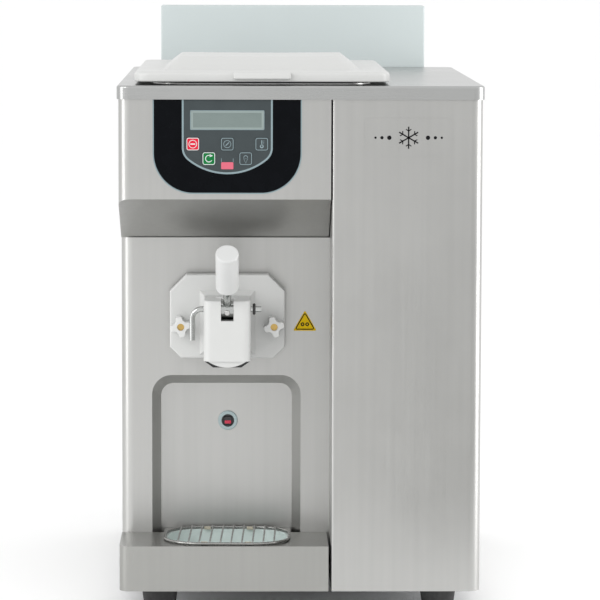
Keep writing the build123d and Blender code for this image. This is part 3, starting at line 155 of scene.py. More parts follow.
def brushed(name, color, rough=0.34, grain="z"):
    """Satin brushed steel: fine lines along one axis, soft stains and a little wear."""
    n = Nodes(name)
    n.set(metallic=1.0)
    line_stretch = {"x": (6, 900, 900), "z": (900, 900, 6)}[grain]
    band_stretch = {"x": (2, 120, 120), "z": (120, 120, 2)}[grain]
    lines = n.noise(1.0, detail=4.0, roughness=0.7, stretch=line_stretch)
    bands = n.noise(1.0, detail=2.0, roughness=0.5, stretch=band_stretch)
    stains = n.noise(9.0, detail=4.0, roughness=0.6)
    tone = n.mix(n.span(bands, 0.0, 1.0, 0.35, 0.65), shade(color, 0.985), shade(color, 1.015))
    stain = n.mix(n.span(stains, 0.0, 1.0), (0.965, 0.965, 0.965), (1.0, 1.0, 1.0))
    stained = n.add("ShaderNodeMix", data_type="RGBA", blend_type="MULTIPLY")
    stained.inputs["Factor"].default_value = 1.0
    n.link(tone, stained.inputs["A"])
    n.link(stain, stained.inputs["B"])
    grit = n.add("ShaderNodeMath", operation="ADD")
    n.link(n.span(lines, rough - 0.05, rough + 0.05), grit.inputs[0])
    n.link(n.span(stains, -0.03, 0.04), grit.inputs[1])
    return n.wire(stained.outputs["Result"], grit.outputs[0], n.bump(lines, LINE_DEPTH, 0.6))


def polished(name, color, rough=0.12):
    """Polished metal with faint handling marks."""
    n = Nodes(name)
    n.set(metallic=1.0)
    marks = n.noise(260.0, detail=5.0, roughness=0.65)
    tone = n.mix(n.span(marks, 0.0, 1.0), shade(color, 0.94), shade(color, 1.04))
    return n.wire(tone, n.span(marks, rough - 0.03, rough + 0.08), n.bump(marks, MARK_DEPTH, 0.5))


def moulded(name, color, rough=0.38, grain=900.0):
    """Moulded plastic with a faint skin texture and slight tone changes."""
    n = Nodes(name)
    skin = n.noise(grain, detail=3.0, roughness=0.6)
    cloud = n.noise(14.0, detail=3.0, roughness=0.5)
    tone = n.mix(n.span(cloud, 0.0, 1.0), shade(color, 0.965), color)
    return n.wire(tone, n.span(cloud, rough - 0.04, rough + 0.05), n.bump(skin, MARK_DEPTH, 0.5))


def rubbery(name, color, rough=0.7):
    """Matt rubber with fine grain and light dust."""
    n = Nodes(name)
    grain = n.noise(700.0, detail=4.0, roughness=0.7)
    dust = n.noise(40.0, detail=5.0, roughness=0.7)
    tone = n.mix(n.span(dust, 0.0, 1.0, 0.4, 0.8), color, shade(color, 2.2))
    return n.wire(tone, n.span(grain, rough - 0.08, rough + 0.08), n.bump(grain, RUBBER_DEPTH, 0.5))


def film(name, color, rough=0.22, haze=1.6):
    """Printed membrane film with a weak shine and faint smudges."""
    n = Nodes(name)
    n.set(specular=0.05)
    smudge = n.noise(30.0, detail=4.0, roughness=0.6)
    fine = n.noise(1500.0, detail=2.0, roughness=0.5)
    tone = n.mix(n.span(smudge, 0.0, 1.0), color, shade(color, haze))
    return n.wire(tone, n.span(smudge, rough - 0.06, rough + 0.08), n.bump(fine, FILM_DEPTH, 0.4))


def painted(name, color, rough=0.42):
    """Powder paint with a fine orange peel."""
    n = Nodes(name)
    peel = n.noise(420.0, detail=2.0, roughness=0.5)
    cloud = n.noise(7.0, detail=3.0, roughness=0.5)
    tone = n.mix(n.span(cloud, 0.0, 1.0), shade(color, 0.96), color)
    return n.wire(tone, n.span(peel, rough - 0.04, rough + 0.05), n.bump(peel, PEEL_DEPTH, 0.4))


def display_film(name):
    """Grey-green display with a paler edge round the area of its empty text lines."""
    n = Nodes(name)
    n.set(roughness=0.25, specular=0.12)
    shift = n.add("ShaderNodeVectorMath", operation="SUBTRACT")
    n.link(n.coords, shift.inputs[0])
    shift.inputs[1].default_value = (window_low + window_high) / 2
    parts = n.add("ShaderNodeSeparateXYZ")
    n.link(shift.outputs["Vector"], parts.inputs[0])
    edge = n.add("ShaderNodeMath", operation="MAXIMUM")
    for index, (axis, half) in enumerate((("X", CELL_HALF_X), ("Z", CELL_HALF_Z))):
        size = n.add("ShaderNodeMath", operation="ABSOLUTE")
        n.link(parts.outputs[axis], size.inputs[0])
        n.link(n.span(size.outputs[0], 0.0, 1.0, half, half + CELL_EDGE), edge.inputs[index])
    haze = n.noise(35.0, detail=3.0, roughness=0.5)
    tone = n.mix(n.span(haze, 0.0, 1.0), (0.165, 0.205, 0.195), (0.185, 0.225, 0.215))
    framed = n.add("ShaderNodeMix", data_type="RGBA")
    n.link(edge.outputs[0], framed.inputs["Factor"])
    n.link(tone, framed.inputs["A"])
    framed.inputs["B"].default_value = (0.25, 0.30, 0.29, 1)
    return n.wire(framed.outputs["Result"])


MATERIALS = {
    "panel_steel": brushed("panel_steel", (0.475, 0.475, 0.463)),
    "cover_steel": brushed("cover_steel", (0.435, 0.44, 0.435), 0.3, "x"),
    "chimney_metal": painted("chimney_metal", (0.53, 0.585, 0.585), 0.5),
    "tray_steel": brushed("tray_steel", (0.36, 0.36, 0.345), 0.33, "z"),
    "zinc_steel": polished("zinc_steel", (0.45, 0.46, 0.47), 0.4),
    "foot_rubber": rubbery("foot_rubber", (0.03, 0.03, 0.03)),
    "seal_rubber": rubbery("seal_rubber", (0.015, 0.015, 0.015), 0.5),
    # dark gasket under the lid; its near-black colour also stands in for the shadow in the gap between lid
    # and cover (painted shade)
    "gasket_silicone": rubbery("gasket_silicone", (0.05, 0.05, 0.05), 0.6),
    "lid_plastic": moulded("lid_plastic", (0.55, 0.555, 0.545), 0.36),
    "head_plastic": moulded("head_plastic", (0.56, 0.565, 0.555), 0.42),
    "grip_plastic": moulded("grip_plastic", (0.57, 0.575, 0.57), 0.34),
    "knob_plastic": moulded("knob_plastic", (0.62, 0.625, 0.615), 0.36),
    "overlay_black": film("overlay_black", (0.0022, 0.0026, 0.0035), 0.25),
    "keypad_grey": film("keypad_grey", (0.050, 0.060, 0.063), 0.4, 1.15),
    "display_glass": display_film("display_glass"),
    "level_lamp": moulded("level_lamp", (0.60, 0.11, 0.165), 0.3, 1200.0),
    "board_green": painted("board_green", (0.02, 0.16, 0.06), 0.4),
    "key_red": film("key_red", (0.58, 0.022, 0.045), 0.35, 1.1),
    "key_green": film("key_green", (0.010, 0.145, 0.040), 0.35, 1.1),
    "key_grey": film("key_grey", (0.050, 0.060, 0.063), 0.4, 1.15),
    "bezel_grey": painted("bezel_grey", (0.34, 0.42, 0.43), 0.35),
    "switch_black": moulded("switch_black", (0.010, 0.010, 0.011), 0.32, 1000.0),
    "rocker_red": moulded("rocker_red", (0.02, 0.018, 0.02), 0.25, 1000.0),
    "chrome_steel": polished("chrome_steel", (0.46, 0.47, 0.46), 0.10),
    "stainless": brushed("stainless", (0.58, 0.58, 0.57), 0.28, "x"),
    "brass": polished("brass", (0.56, 0.38, 0.13), 0.28),
    "foam": rubbery("foam", (0.62, 0.58, 0.42), 0.8),
    "beater_plastic": moulded("beater_plastic", (0.75, 0.76, 0.75)),
    "motor_paint": painted("motor_paint", (0.14, 0.16, 0.18)),
    "compressor_paint": painted("compressor_paint", (0.012, 0.012, 0.012), 0.3),
    "fin_aluminium": brushed("fin_aluminium", (0.66, 0.67, 0.68), 0.35, "z"),
    "fan_plastic": moulded("fan_plastic", (0.03, 0.03, 0.03), 0.45),
    "copper_pipe": polished("copper_pipe", (0.72, 0.34, 0.20), 0.25),
    "box_plastic": moulded("box_plastic", (0.32, 0.33, 0.34), 0.5),
    "gland_plastic": moulded("gland_plastic", (0.015, 0.015, 0.015), 0.5),
    "label_yellow": film("label_yellow", (0.62, 0.42, 0.006), 0.35, 1.08),
    "badge_dark": brushed("badge_dark", (0.472, 0.472, 0.46)),
    "pad_beige": moulded("pad_beige", (0.52, 0.48, 0.38), 0.5),
}
PRINT_PALE = film("print_pale", (0.22, 0.285, 0.305), 0.4, 1.05)
PRINT_DARK = film("print_dark", (0.008, 0.008, 0.009), 0.35, 1.4)
PRINT_WHITE = film("print_white", (0.62, 0.66, 0.66), 0.4, 1.05)
PRINT_RED = moulded("print_red", (0.52, 0.015, 0.055), 0.2, 1200.0)
# painted light: pale mint colour standing in for the light seen inside the steel basin
BASIN_LIGHT_PAINT = moulded("painted_basin_light", (0.72, 0.80, 0.78), 0.3)
WIRE_DARK = polished("wire_dark", (0.32, 0.32, 0.31), 0.25)


# ---------------------------------------------------------------- CAD nodes
def dress_cad():
    """Gives every CAD node the material of its slot."""
    slots = {entry["node"]: entry["material_slot"] for entry in frame["record"]["subparts"]}
    for node, obj in frame["nodes"].items():
        material = MATERIALS[slots[node]]
        for index in range(max(1, len(obj.material_slots))):
            if index < len(obj.material_slots):
                obj.material_slots[index].material = material
            else:
                obj.data.materials.append(material)


# ---------------------------------------------------------------- mesh helpers
SHARP_ANGLE = math.radians(38)
CORNERS = ((1, 1, 0), (-1, 1, 90), (-1, -1, 180), (1, -1, 270))     # side, side, start of the arc


def piece(name, verts, faces, material, body, slot, replaces=()):
    """Makes a mesh object in the row frame, hangs it on its body and hides the CAD nodes it replaces."""
    mesh = bpy.data.meshes.new(name)
    mesh.from_pydata([tuple(v) for v in verts], [], faces)
    work = bmesh.new()
    work.from_mesh(mesh)
    bmesh.ops.recalc_face_normals(work, faces=work.faces)
    work.to_mesh(mesh)
    work.free()
    mesh.materials.append(material)
    for polygon in mesh.polygons:
        polygon.use_smooth = True
    obj = bpy.data.objects.new(name, mesh)
    bpy.context.scene.collection.objects.link(obj)
    mesh.set_sharp_from_angle(angle=SHARP_ANGLE)
    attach(obj, body)
    if replaces:
        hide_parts(*replaces)


def bridge(rings, cap_start=True, cap_end=True):
    """Vertices and faces of a skin over closed rings with the same number of points."""
    count = len(rings[0])
    verts = [point for ring in rings for point in ring]
    faces = []
    for level in range(len(rings) - 1):
        for index in range(count):
            a = level * count + index
            b = level * count + (index + 1) % count
            faces.append((a, b, b + count, a + count))
    if cap_start:
        faces.append(tuple(range(count - 1, -1, -1)))
    if cap_end:
        faces.append(tuple(range((len(rings) - 1) * count, len(rings) * count)))
    return verts, faces


def rounded_ring(cx, cy, hx, hy, radius, z, steps=6, side=10):
    """Rounded rectangle seen from above, as a ring of points with even sides."""
    radius = min(radius, hx, hy)
    turns = []
    for sx, sy, start in CORNERS:
        turn = arc(cx + sx * (hx - radius), cy + sy * (hy - radius), radius, start, start + 90, steps)
        turns.append([Vector((x, y, z)) for x, y in turn])
    ring = []
    for index, turn in enumerate(turns):
        ring += turn
        end = turns[(index + 1) % 4][0]
        ring += [turn[-1].lerp(end, (k + 1) / (side + 1)) for k in range(side)]
    return ring


def tube_rings(points, radius, closed=False, sides=12):
    """Rings of a round tube along points."""
    count = len(points)
    rings = []
    normal = None
    for index, point in enumerate(points):
        before = points[(index - 1) % count] if closed or index > 0 else point
        after = points[(index + 1) % count] if closed or index < count - 1 else point
        tangent = (after - before).normalized()
        if normal is None:
            normal = tangent.orthogonal().normalized()
        normal = (normal - tangent * normal.dot(tangent)).normalized()
        across = tangent.cross(normal)
        ring = []
        for side in range(sides):
            angle = 2 * math.pi * side / sides
            ring.append(point + (normal * math.cos(angle) + across * math.sin(angle)) * radius)
        rings.append(ring)
    return rings


def tube(points, radius, closed=False, sides=12):
    """Vertices and faces of a round tube; a closed one joins its ends."""
    rings = tube_rings(points, radius, closed, sides)
    if closed:
        rings.append(rings[0])
        verts, faces = bridge(rings, cap_start=False, cap_end=False)
        count = len(verts) - sides
        faces = [tuple(index % count if index >= count else index for index in face) for face in faces]
        return verts[:count], faces
    return bridge(rings)


def lathe(profile, origin, axis, sides):
    """Skin of revolution: profile gives (distance along the axis, radius)."""
    axis = Vector(axis).normalized()
    normal = axis.orthogonal().normalized()
    across = axis.cross(normal)
    rings = []
    for along, radius in profile:
        ring = []
        for side in range(sides):
            angle = 2 * math.pi * side / sides
            outward = normal * math.cos(angle) + across * math.sin(angle)
            ring.append(Vector(origin) + axis * along + outward * radius)
        rings.append(ring)
    return bridge(rings)


def join(*skins):
    """Puts several skins into one list of vertices and faces."""
    verts = []
    faces = []
    for skin_verts, skin_faces in skins:
        offset = len(verts)
        verts += skin_verts
        faces += [tuple(index + offset for index in face) for face in skin_faces]
    return verts, faces


def soft_box(low, high, radius, segments=3):
    """Box with rounded edges."""
    work = bmesh.new()
    bmesh.ops.create_cube(work, size=1.0)
    for vert in work.verts:
        share = vert.co.copy()
        vert.co = [(low[k] + high[k]) / 2 + share[k] * (high[k] - low[k]) for k in range(3)]
    bmesh.ops.bevel(work, geom=work.edges[:], offset=radius, segments=segments, profile=0.5, affect="EDGES")
    skin = ([v.co.copy() for v in work.verts], [tuple(v.index for v in f.verts) for f in work.faces])
    work.free()
    return skin


def front_ribbon(points, width, back, proud, closed=False):
    """Flat strip on a front face, following points of X and Z, standing proud towards the front."""
    count = len(points)
    inner = []
    outer = []
    for index, (x, z) in enumerate(points):
        before = points[(index - 1) % count] if closed or index > 0 else points[index]
        after = points[(index + 1) % count] if closed or index < count - 1 else points[index]
        along = Vector((after[0] - before[0], after[1] - before[1])).normalized()
        offset = Vector((-along.y, along.x)) * width / 2
        inner.append((x + offset.x, z + offset.y))
        outer.append((x - offset.x, z - offset.y))
    verts = []
    for y in (back, back - proud):
        verts += [Vector((x, y, z)) for x, z in inner] + [Vector((x, y, z)) for x, z in outer]
    faces = []
    steps = count if closed else count - 1
    for index in range(steps):
        a = index
        b = (index + 1) % count
        faces += [
            (a + 2 * count, b + 2 * count, b + 3 * count, a + 3 * count),
            (a, a + count, b + count, b),
            (a, b, b + 2 * count, a + 2 * count),
            (b + count, a + count, a + 3 * count, b + 3 * count),
        ]
    if not closed:
        last = count - 1
        faces += [(0, 2 * count, 3 * count, count), (last, last + count, last + 3 * count, last + 2 * count)]
    return verts, faces


def front_plate(points, back, proud):
    """Flat plate with a convex outline of X and Z, standing proud towards the front."""
    rings = [[Vector((x, y, z)) for x, z in points] for y in (back, back - proud)]
    return bridge(rings)


def arc(cx, cz, radius, start, end, steps):
    """Points on an arc in a plane; the angles are in degrees."""
    points = []
    for step in range(steps + 1):
        angle = math.radians(start + (end - start) * step / steps)
        points.append((cx + radius * math.cos(angle), cz + radius * math.sin(angle)))
    return points


def rounded_path(low_x, low_z, high_x, high_z, radius, steps):
    """Points of X and Z round a rectangle with rounded corners."""
    cx = (low_x + high_x) / 2
    cz = (low_z + high_z) / 2
    reach_x = (high_x - low_x) / 2 - radius
    reach_z = (high_z - low_z) / 2 - radius
    path = []
    for sx, sz, start in CORNERS:
        path += arc(cx + sx * reach_x, cz + sz * reach_z, radius, start, start + 90, steps)
    return path


def corner(start, middle, end, steps=6):
    """Smooth turn from start to end, pulled towards the middle point."""
    points = []
    for step in range(steps + 1):
        t = step / steps
        weights = ((1 - t) ** 2, 2 * t * (1 - t), t * t)
        points.append(tuple(
            weights[0] * start[k] + weights[1] * middle[k] + weights[2] * end[k] for k in range(2)
        ))
    return points


# ---------------------------------------------------------------- control panel
INK = 0.12 * MM               # how far a printed line stands proud
FINE_LINE = 0.6 * MM
BORDER_LINE = 1.2 * MM        # pale line round the black overlay
BORDER_PROUD = 0.15 * MM
OVERLAY_CORNER = 44 * MM
KEYPAD_LINE = 2.0 * MM        # pale line round the grey keypad
KEYPAD_PROUD = 0.2 * MM
SHOULDER_RISE = 20.4 * MM     # from the keypad's lowest point up to its shoulders
SHOULDER_EASE = 7.0 * MM      # how far the turn at a shoulder reaches up the side
KEY_HALF = 6.75 * MM
KEY_LINE = 0.7 * MM
KEY_CORNER = 2.0 * MM
LIP_LINE = 0.5 * MM
LIP_CORNER = 0.8 * MM
LIP_PROUD = 0.35 * MM
LEVEL_LINE = 0.5 * MM
LEVEL_RISE = 4.1 * MM         # how far the level cup's sides reach above its lamp


def overlay_border():
    """Pale line down the sides and round the foot of the black overlay."""
    left = overlay_low.x + BORDER_LINE / 2
    right = overlay_high.x - BORDER_LINE / 2
    bottom = overlay_low.z + BORDER_LINE / 2
    r = OVERLAY_CORNER - BORDER_LINE / 2
    path = [(left, overlay_high.z)]
    path += arc(left + r, bottom + r, r, 180, 270, 20)
    path += arc(right - r, bottom + r, r, 270, 360, 20)
    path.append((right, overlay_high.z))
    skin = front_ribbon(path, BORDER_LINE, overlay_low.y, BORDER_PROUD)
    piece("overlay_border", *skin, PRINT_PALE, "chassis", "overlay_black")


def keypad_border():
    """Pale line down the sides of the grey keypad and along the shallow bow of its foot."""
    left = keypad_low.x
    right = keypad_high.x
    shoulder = keypad_low.z + SHOULDER_RISE
    half = (right - left) / 2
    bow = (half ** 2 + SHOULDER_RISE ** 2) / (2 * SHOULDER_RISE)
    span = math.degrees(math.asin(half / bow))
    sweep = arc((left + right) / 2, keypad_low.z + bow, bow, 270 - span, 270 + span, 28)
    path = [(left, keypad_high.z), (left, shoulder + SHOULDER_EASE)]
    path += corner(path[-1], (left, shoulder), sweep[2])
    path += sweep[3:-3]
    path += corner(sweep[-3], (right, shoulder), (right, shoulder + SHOULDER_EASE))
    path.append((right, keypad_high.z))
    skin = front_ribbon(path, KEYPAD_LINE, keypad_low.y, KEYPAD_PROUD)
    piece("keypad_border", *skin, PRINT_PALE, "chassis", "overlay_black")


def printed_ring(cx, cz, radius, width, y, steps=24):
    """Printed circle."""
    return front_ribbon(arc(cx, cz, radius, 0, 345, steps), width, y, INK, closed=True)


def around(cx, cz, *points):
    """Points of X and Z from offsets in millimetres about a middle."""
    return [(cx + x * MM, cz + z * MM) for x, z in points]


def stop_sign(cx, cz, y):
    """Circle with a level bar."""
    bar = around(cx, cz, (-2.6, 0), (2.6, 0))
    return [printed_ring(cx, cz, 4.2 * MM, FINE_LINE, y), front_ribbon(bar, 1.3 * MM, y, INK)]


def clean_sign(cx, cz, y):
    """Circle with a slanted bar."""
    bar = around(cx, cz, (-1.8, -1.8), (1.8, 1.8))
    return [printed_ring(cx, cz, 3.9 * MM, FINE_LINE, y), front_ribbon(bar, 1.0 * MM, y, INK)]


def wash_sign(cx, cz, y):
    """Thermometer: a bulb, a stem and three ticks."""
    marks = [
        printed_ring(cx, cz - 2.4 * MM, 1.5 * MM, 1.2 * MM, y, 14),
        front_ribbon(around(cx, cz, (0, -1.6), (0, 4.2)), 1.0 * MM, y, INK),
    ]
    for height in (0.4, 1.9, 3.4):
        marks.append(front_ribbon(around(cx, cz, (1.3, height), (2.6, height)), 0.4 * MM, y, INK))
    return marks


def start_sign(cx, cz, y):
    """Turning arrow."""
    head = around(cx, cz, (1.0, 4.9), (1.0, 1.7), (4.4, 3.2))
    return [front_ribbon(arc(cx, cz, 3.6 * MM, 60, 330, 20), 0.8 * MM, y, INK), front_plate(head, y, INK)]


def portion_sign(cx, cz, y):
    """Cone with a round scoop."""
    cone = around(cx, cz, (-2.2, 0), (0, -5.0), (2.2, 0))
    scoop = arc(cx, cz + 1.2 * MM, 2.1 * MM, -10, 190, 12)
    return [front_ribbon(cone, FINE_LINE, y, INK, closed=True), front_ribbon(scoop, FINE_LINE, y, INK)]


def key_symbols():
    """A pale frame and a generic pictogram on each key; they move with the key."""
    signs = (
        ("key_stop", stop_sign, PRINT_WHITE), ("key_clean", clean_sign, PRINT_PALE),
        ("key_wash", wash_sign, PRINT_PALE), ("key_start", start_sign, PRINT_WHITE),
        ("key_portion", portion_sign, PRINT_PALE),
    )
    half = KEY_HALF - KEY_LINE / 2
    for node, sign, material in signs:
        low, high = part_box(node)
        cx = (low.x + high.x) / 2
        cz = (low.z + high.z) / 2
        outline = rounded_path(cx - half, cz - half, cx + half, cz + half, KEY_CORNER, 5)
        edge = front_ribbon(outline, KEY_LINE, low.y, INK, closed=True)
        piece(node + "_symbol", *join(edge, *sign(cx, cz, low.y)), material, node, "keypad_grey")


def display_details():
    """Raised lip of the display window and the sides of the level cup."""
    grow = LIP_LINE / 2
    outline = rounded_path(
        window_low.x - grow, window_low.z - grow, window_high.x + grow, window_high.z + grow, LIP_CORNER, 4,
    )
    skin = front_ribbon(outline, LIP_LINE, keypad_low.y, LIP_PROUD, closed=True)
    piece("display_lip", *skin, PRINT_PALE, "chassis", "display_glass")
    sides = []
    for x in (level_low.x + LEVEL_LINE / 2, level_high.x - LEVEL_LINE / 2):
        side = [(x, level_high.z + LEVEL_RISE), (x, level_high.z)]
        sides.append(front_ribbon(side, LEVEL_LINE, keypad_low.y, INK))
    piece("level_lines", *join(*sides), PRINT_PALE, "chassis", "overlay_black")


# ---------------------------------------------------------------- labels
def label_mark():
    """Plain triangle with soft corners and two rings."""
    height = label_high.z - label_low.z
    cx = (label_low.x + label_high.x) / 2
    cz = label_low.z + height * 0.36
    reach = height * 0.56
    softness = 0.12            # share of a side that its rounded corners take
    rim = []
    for angle in (90, 210, 330):
        turn = math.radians(angle)
        rim.append((cx + reach * math.cos(turn), cz + reach * math.sin(turn)))
    outline = []
    for index, point in enumerate(rim):
        before = rim[index - 1]
        after = rim[(index + 1) % 3]
        start = tuple(point[k] + (before[k] - point[k]) * softness for k in range(2))
        end = tuple(point[k] + (after[k] - point[k]) * softness for k in range(2))
        outline += corner(start, point, end, 4)
    marks = [front_ribbon(outline, 1.1 * MM, label_low.y, INK, closed=True)]
    for x, z in around(cx, cz, (-2.6, -0.6), (2.6, -0.6)):
        marks.append(printed_ring(x, z, 1.5 * MM, 1.3 * MM, label_low.y, 16))
    piece("label_mark", *join(*marks), PRINT_DARK, "chassis", "label_yellow")


def badge_mark():
    """Six-armed frost star with three dots on each side."""
    y = badge_low.y
    cx = (badge_low.x + badge_high.x) / 2
    cz = (badge_low.z + badge_high.z) / 2
    arm = 12.0 * MM
    branch_lean = math.radians(55)
    marks = []
    for index in range(6):
        angle = math.radians(30 + 60 * index)
        tip = (cx + arm * math.cos(angle), cz + arm * math.sin(angle))
        marks.append(front_ribbon([(cx, cz), tip], 1.5 * MM, y, INK))
        root = (cx + 0.6 * arm * math.cos(angle), cz + 0.6 * arm * math.sin(angle))
        for lean in (-branch_lean, branch_lean):
            end = (root[0] + 0.3 * arm * math.cos(angle + lean), root[1] + 0.3 * arm * math.sin(angle + lean))
            marks.append(front_ribbon([root, end], 1.1 * MM, y, INK))
    for side in (-1, 1):
        for step, radius in ((21, 2.4), (29, 1.8), (36, 1.3)):
            marks.append(front_plate(arc(cx + side * step * MM, cz, radius * MM, 0, 345, 14), y, INK))
    piece("badge_mark", *join(*marks), PRINT_DARK, "chassis", "badge_dark")


# ---------------------------------------------------------------- lid
LID_FRONT = FRONT + 10.0 * MM          # front edge of the rim, behind its tab
LID_RIM = lid_low.z + 10.8 * MM        # top of the flat border
LID_WALL = 3.0 * MM
LID_CORNER = 16.0 * MM
LID_CURL = 4.0 * MM                    # rounding of the rim's upper edge
LID_SAG = 1.5 * MM                     # dip in the middle of the raised centre
DOME_FRONT = FRONT + 60.0 * MM
DOME_BACK = FRONT + 300.0 * MM
DOME_FRONT_SLOPE = 40.0 * MM
DOME_BACK_SLOPE = 50.0 * MM
DOME_HALF = 108.5 * MM
DOME_SIDE_SLOPE = 18.0 * MM
DOME_CORNER = 14.0 * MM
DOME_TOP_CORNER = 10.0 * MM
DOME_FOOT = 4.0 * MM                   # width of the flat ring round the raised centre's foot
TAB_HALF = 31.0 * MM
TAB_LOW = 3.0 * MM
TAB_ROOT = 6.0 * MM
TAB_STEP = 0.4 * MM
TAB_ROUND = 1.6 * MM


def lid_ring(inset, z):
    """Ring round the lid, a distance inside its edge."""
    cx = (lid_low.x + lid_high.x) / 2
    cy = (LID_FRONT + lid_high.y) / 2
    hx = (lid_high.x - lid_low.x) / 2
    hy = (lid_high.y - LID_FRONT) / 2
    return rounded_ring(cx, cy, hx - inset, hy - inset, LID_CORNER - inset, z)


def dome_ring(share, z, grow=0.0, shrink=1.0):
    """Ring round the raised centre: share 0 is its foot and 1 the edge of its top."""
    cx = (lid_low.x + lid_high.x) / 2
    front = DOME_FRONT + share * DOME_FRONT_SLOPE
    back = DOME_BACK - share * DOME_BACK_SLOPE
    hx = DOME_HALF - share * DOME_SIDE_SLOPE + grow
    hy = (back - front) / 2 + grow
    radius = DOME_CORNER + share * (DOME_TOP_CORNER - DOME_CORNER) + grow
    return rounded_ring(cx, (front + back) / 2, hx * shrink, hy * shrink, radius * shrink, z)


def lid_top():
    """Skin from the lower edge of the rim up over the border and the raised centre."""
    low = lid_low.z
    flat = 1.0 * MM            # the sag starts above this height over the border
    rings = [
        lid_ring(LID_WALL, low + 0.6 * MM), lid_ring(LID_WALL - 1.0 * MM, low), lid_ring(0.8 * MM, low),
        lid_ring(0.0, low + 0.9 * MM),
    ]
    for step in range(7):
        angle = math.radians(90 * step / 6)
        rings.append(lid_ring(LID_CURL * (1 - math.cos(angle)), LID_RIM - LID_CURL * (1 - math.sin(angle))))
    height = lid_high.z - LID_RIM
    rings.append(dome_ring(0.0, LID_RIM, DOME_FOOT))
    slope = ((0.0, 0.0), (0.03, 0.0127), (0.08, 0.0292), (0.15, 0.0775), (0.3, 0.3), (0.5, 0.5), (0.7, 0.7))
    shoulder = ((0.85, 0.85), (0.93, 0.925), (0.975, 0.962), (1.0, 0.982), (1.02, 0.994), (1.05, 1.0))
    rings += [dome_ring(share, LID_RIM + height * rise) for share, rise in slope + shoulder]
    rings += [dome_ring(1.0, lid_high.z, shrink=shrink) for shrink in (0.75, 0.5, 0.25, 0.08)]
    verts, faces = bridge(rings, cap_start=False)
    middle_x = (lid_low.x + lid_high.x) / 2
    middle_y = (DOME_FRONT + DOME_BACK) / 2
    for vert in verts:
        if vert.z > LID_RIM + flat:
            u = (vert.x - middle_x) / DOME_HALF
            v = 2 * (vert.y - middle_y) / (DOME_BACK - DOME_FRONT)
            dip = max(0.0, 1 - u * u) * max(0.0, 1 - v * v)
            vert.z -= LID_SAG * dip * (vert.z - LID_RIM) / height
    return verts, faces


def hopper_lid():
    """Moulded lid: rolled rim, flat border, raised centre with a slight sag, hollow below."""
    under = bridge([
        lid_ring(LID_WALL, lid_low.z + 0.6 * MM), lid_ring(LID_WALL, LID_RIM - LID_WALL),
        lid_ring(LID_WALL + 30 * MM, LID_RIM - LID_WALL),
    ], cap_start=False)
    cx = (lid_low.x + lid_high.x) / 2
    tab = soft_box(
        (cx - TAB_HALF, lid_low.y, lid_low.z + TAB_LOW),
        (cx + TAB_HALF, LID_FRONT + TAB_ROOT, LID_RIM - TAB_STEP), TAB_ROUND,
    )
    skin = join(lid_top(), under, tab)
    piece("lid_shell", *skin, MATERIALS["lid_plastic"], "hopper_lid", "lid_plastic", ("hopper_lid",))


# ---------------------------------------------------------------- drip grid and basin
GRID_MIDDLE = Vector(((grid_low.x + grid_high.x) / 2, (grid_low.y + grid_high.y) / 2, 0))
GRID_TURN = Matrix.Rotation(math.radians(-1.5), 3, "Z")
GRID_HALF_X = 70.5 * MM
GRID_HALF_Y = 57.0 * MM
GRID_BEND = 43.0 * MM
WIRE = 1.6 * MM                # radius of the ring's wire
ROD = 1.0 * MM                 # radius of a rod
RODS = 10
BASIN_INSET = 4.0 * MM         # from the grid's edge to the basin's wall
BASIN_DEPTH = 34.0 * MM
BASIN_PLAY = 0.1 * MM
PAINTED_LIGHT_SKIN = 0.6 * MM
PAINTED_LIGHT_FLANGE = 1.5 * MM       # how far the painted-light sheet laps over the tray's top


def turned(points):
    """Points about the grid's middle, turned with the grid and moved into place."""
    return [GRID_MIDDLE + GRID_TURN @ Vector(point) for point in points]


def drip_grid():
    """Welded wire grid: a rounded ring with straight rods lying over it from front to back."""
    ring = rounded_ring(
        0, 0, GRID_HALF_X - WIRE, GRID_HALF_Y - WIRE, GRID_BEND - WIRE, grid_low.z + WIRE, 12, 6,
    )
    skins = [tube(turned(ring), WIRE, closed=True)]
    pitch = 2 * GRID_HALF_X / (RODS + 2)
    for index in range(RODS):
        x = (index - (RODS - 1) / 2) * pitch
        beyond = max(abs(x) - (GRID_HALF_X - GRID_BEND), 0)
        reach = GRID_HALF_Y - GRID_BEND + math.sqrt(GRID_BEND ** 2 - beyond ** 2) - WIRE
        points = [(x, reach * k / 6, grid_high.z - ROD) for k in range(-6, 7)]
        skins.append(tube(turned(points), ROD, sides=10))
    piece("grid_wires", *join(*skins), WIRE_DARK, "drip_grid", "chrome_steel", ("drip_grid",))


def basin_ring(inset, z):
    """Ring round the tray's basin, a distance inside its wall."""
    shrink = BASIN_PLAY + inset
    bend = GRID_BEND - BASIN_INSET - inset
    half_x = GRID_HALF_X - BASIN_INSET - shrink
    half_y = GRID_HALF_Y - BASIN_INSET - shrink
    return turned(rounded_ring(0, 0, half_x, half_y, bend, z, 10, 6))


def basin_light_sheet():
    """Pale sheet inside the tray's steel basin, painted light for the brightness seen in it, with a thin
    flange over the tray's top.
    """
    top = tray_high.z
    mouth = top - 0.3 * MM
    floor = top - BASIN_DEPTH + 0.2 * MM
    edge = top + 0.2 * MM
    outer = bridge([basin_ring(0, mouth), basin_ring(0, floor)], cap_start=False)
    inner = bridge([
        basin_ring(PAINTED_LIGHT_SKIN, floor + PAINTED_LIGHT_SKIN), basin_ring(PAINTED_LIGHT_SKIN, mouth),
        basin_ring(PAINTED_LIGHT_SKIN, edge), basin_ring(-PAINTED_LIGHT_FLANGE, edge),
        basin_ring(-PAINTED_LIGHT_FLANGE, top + 0.05 * MM), basin_ring(0, top),
    ], cap_end=False)
    lip = bridge([basin_ring(0, top), basin_ring(0, mouth)], cap_start=False, cap_end=False)
    # painted light: the pale sheet stands in for the light seen in the steel basin
    piece("basin_light_sheet", *join(outer, inner, lip), BASIN_LIGHT_PAINT, "drip_tray", "tray_steel")


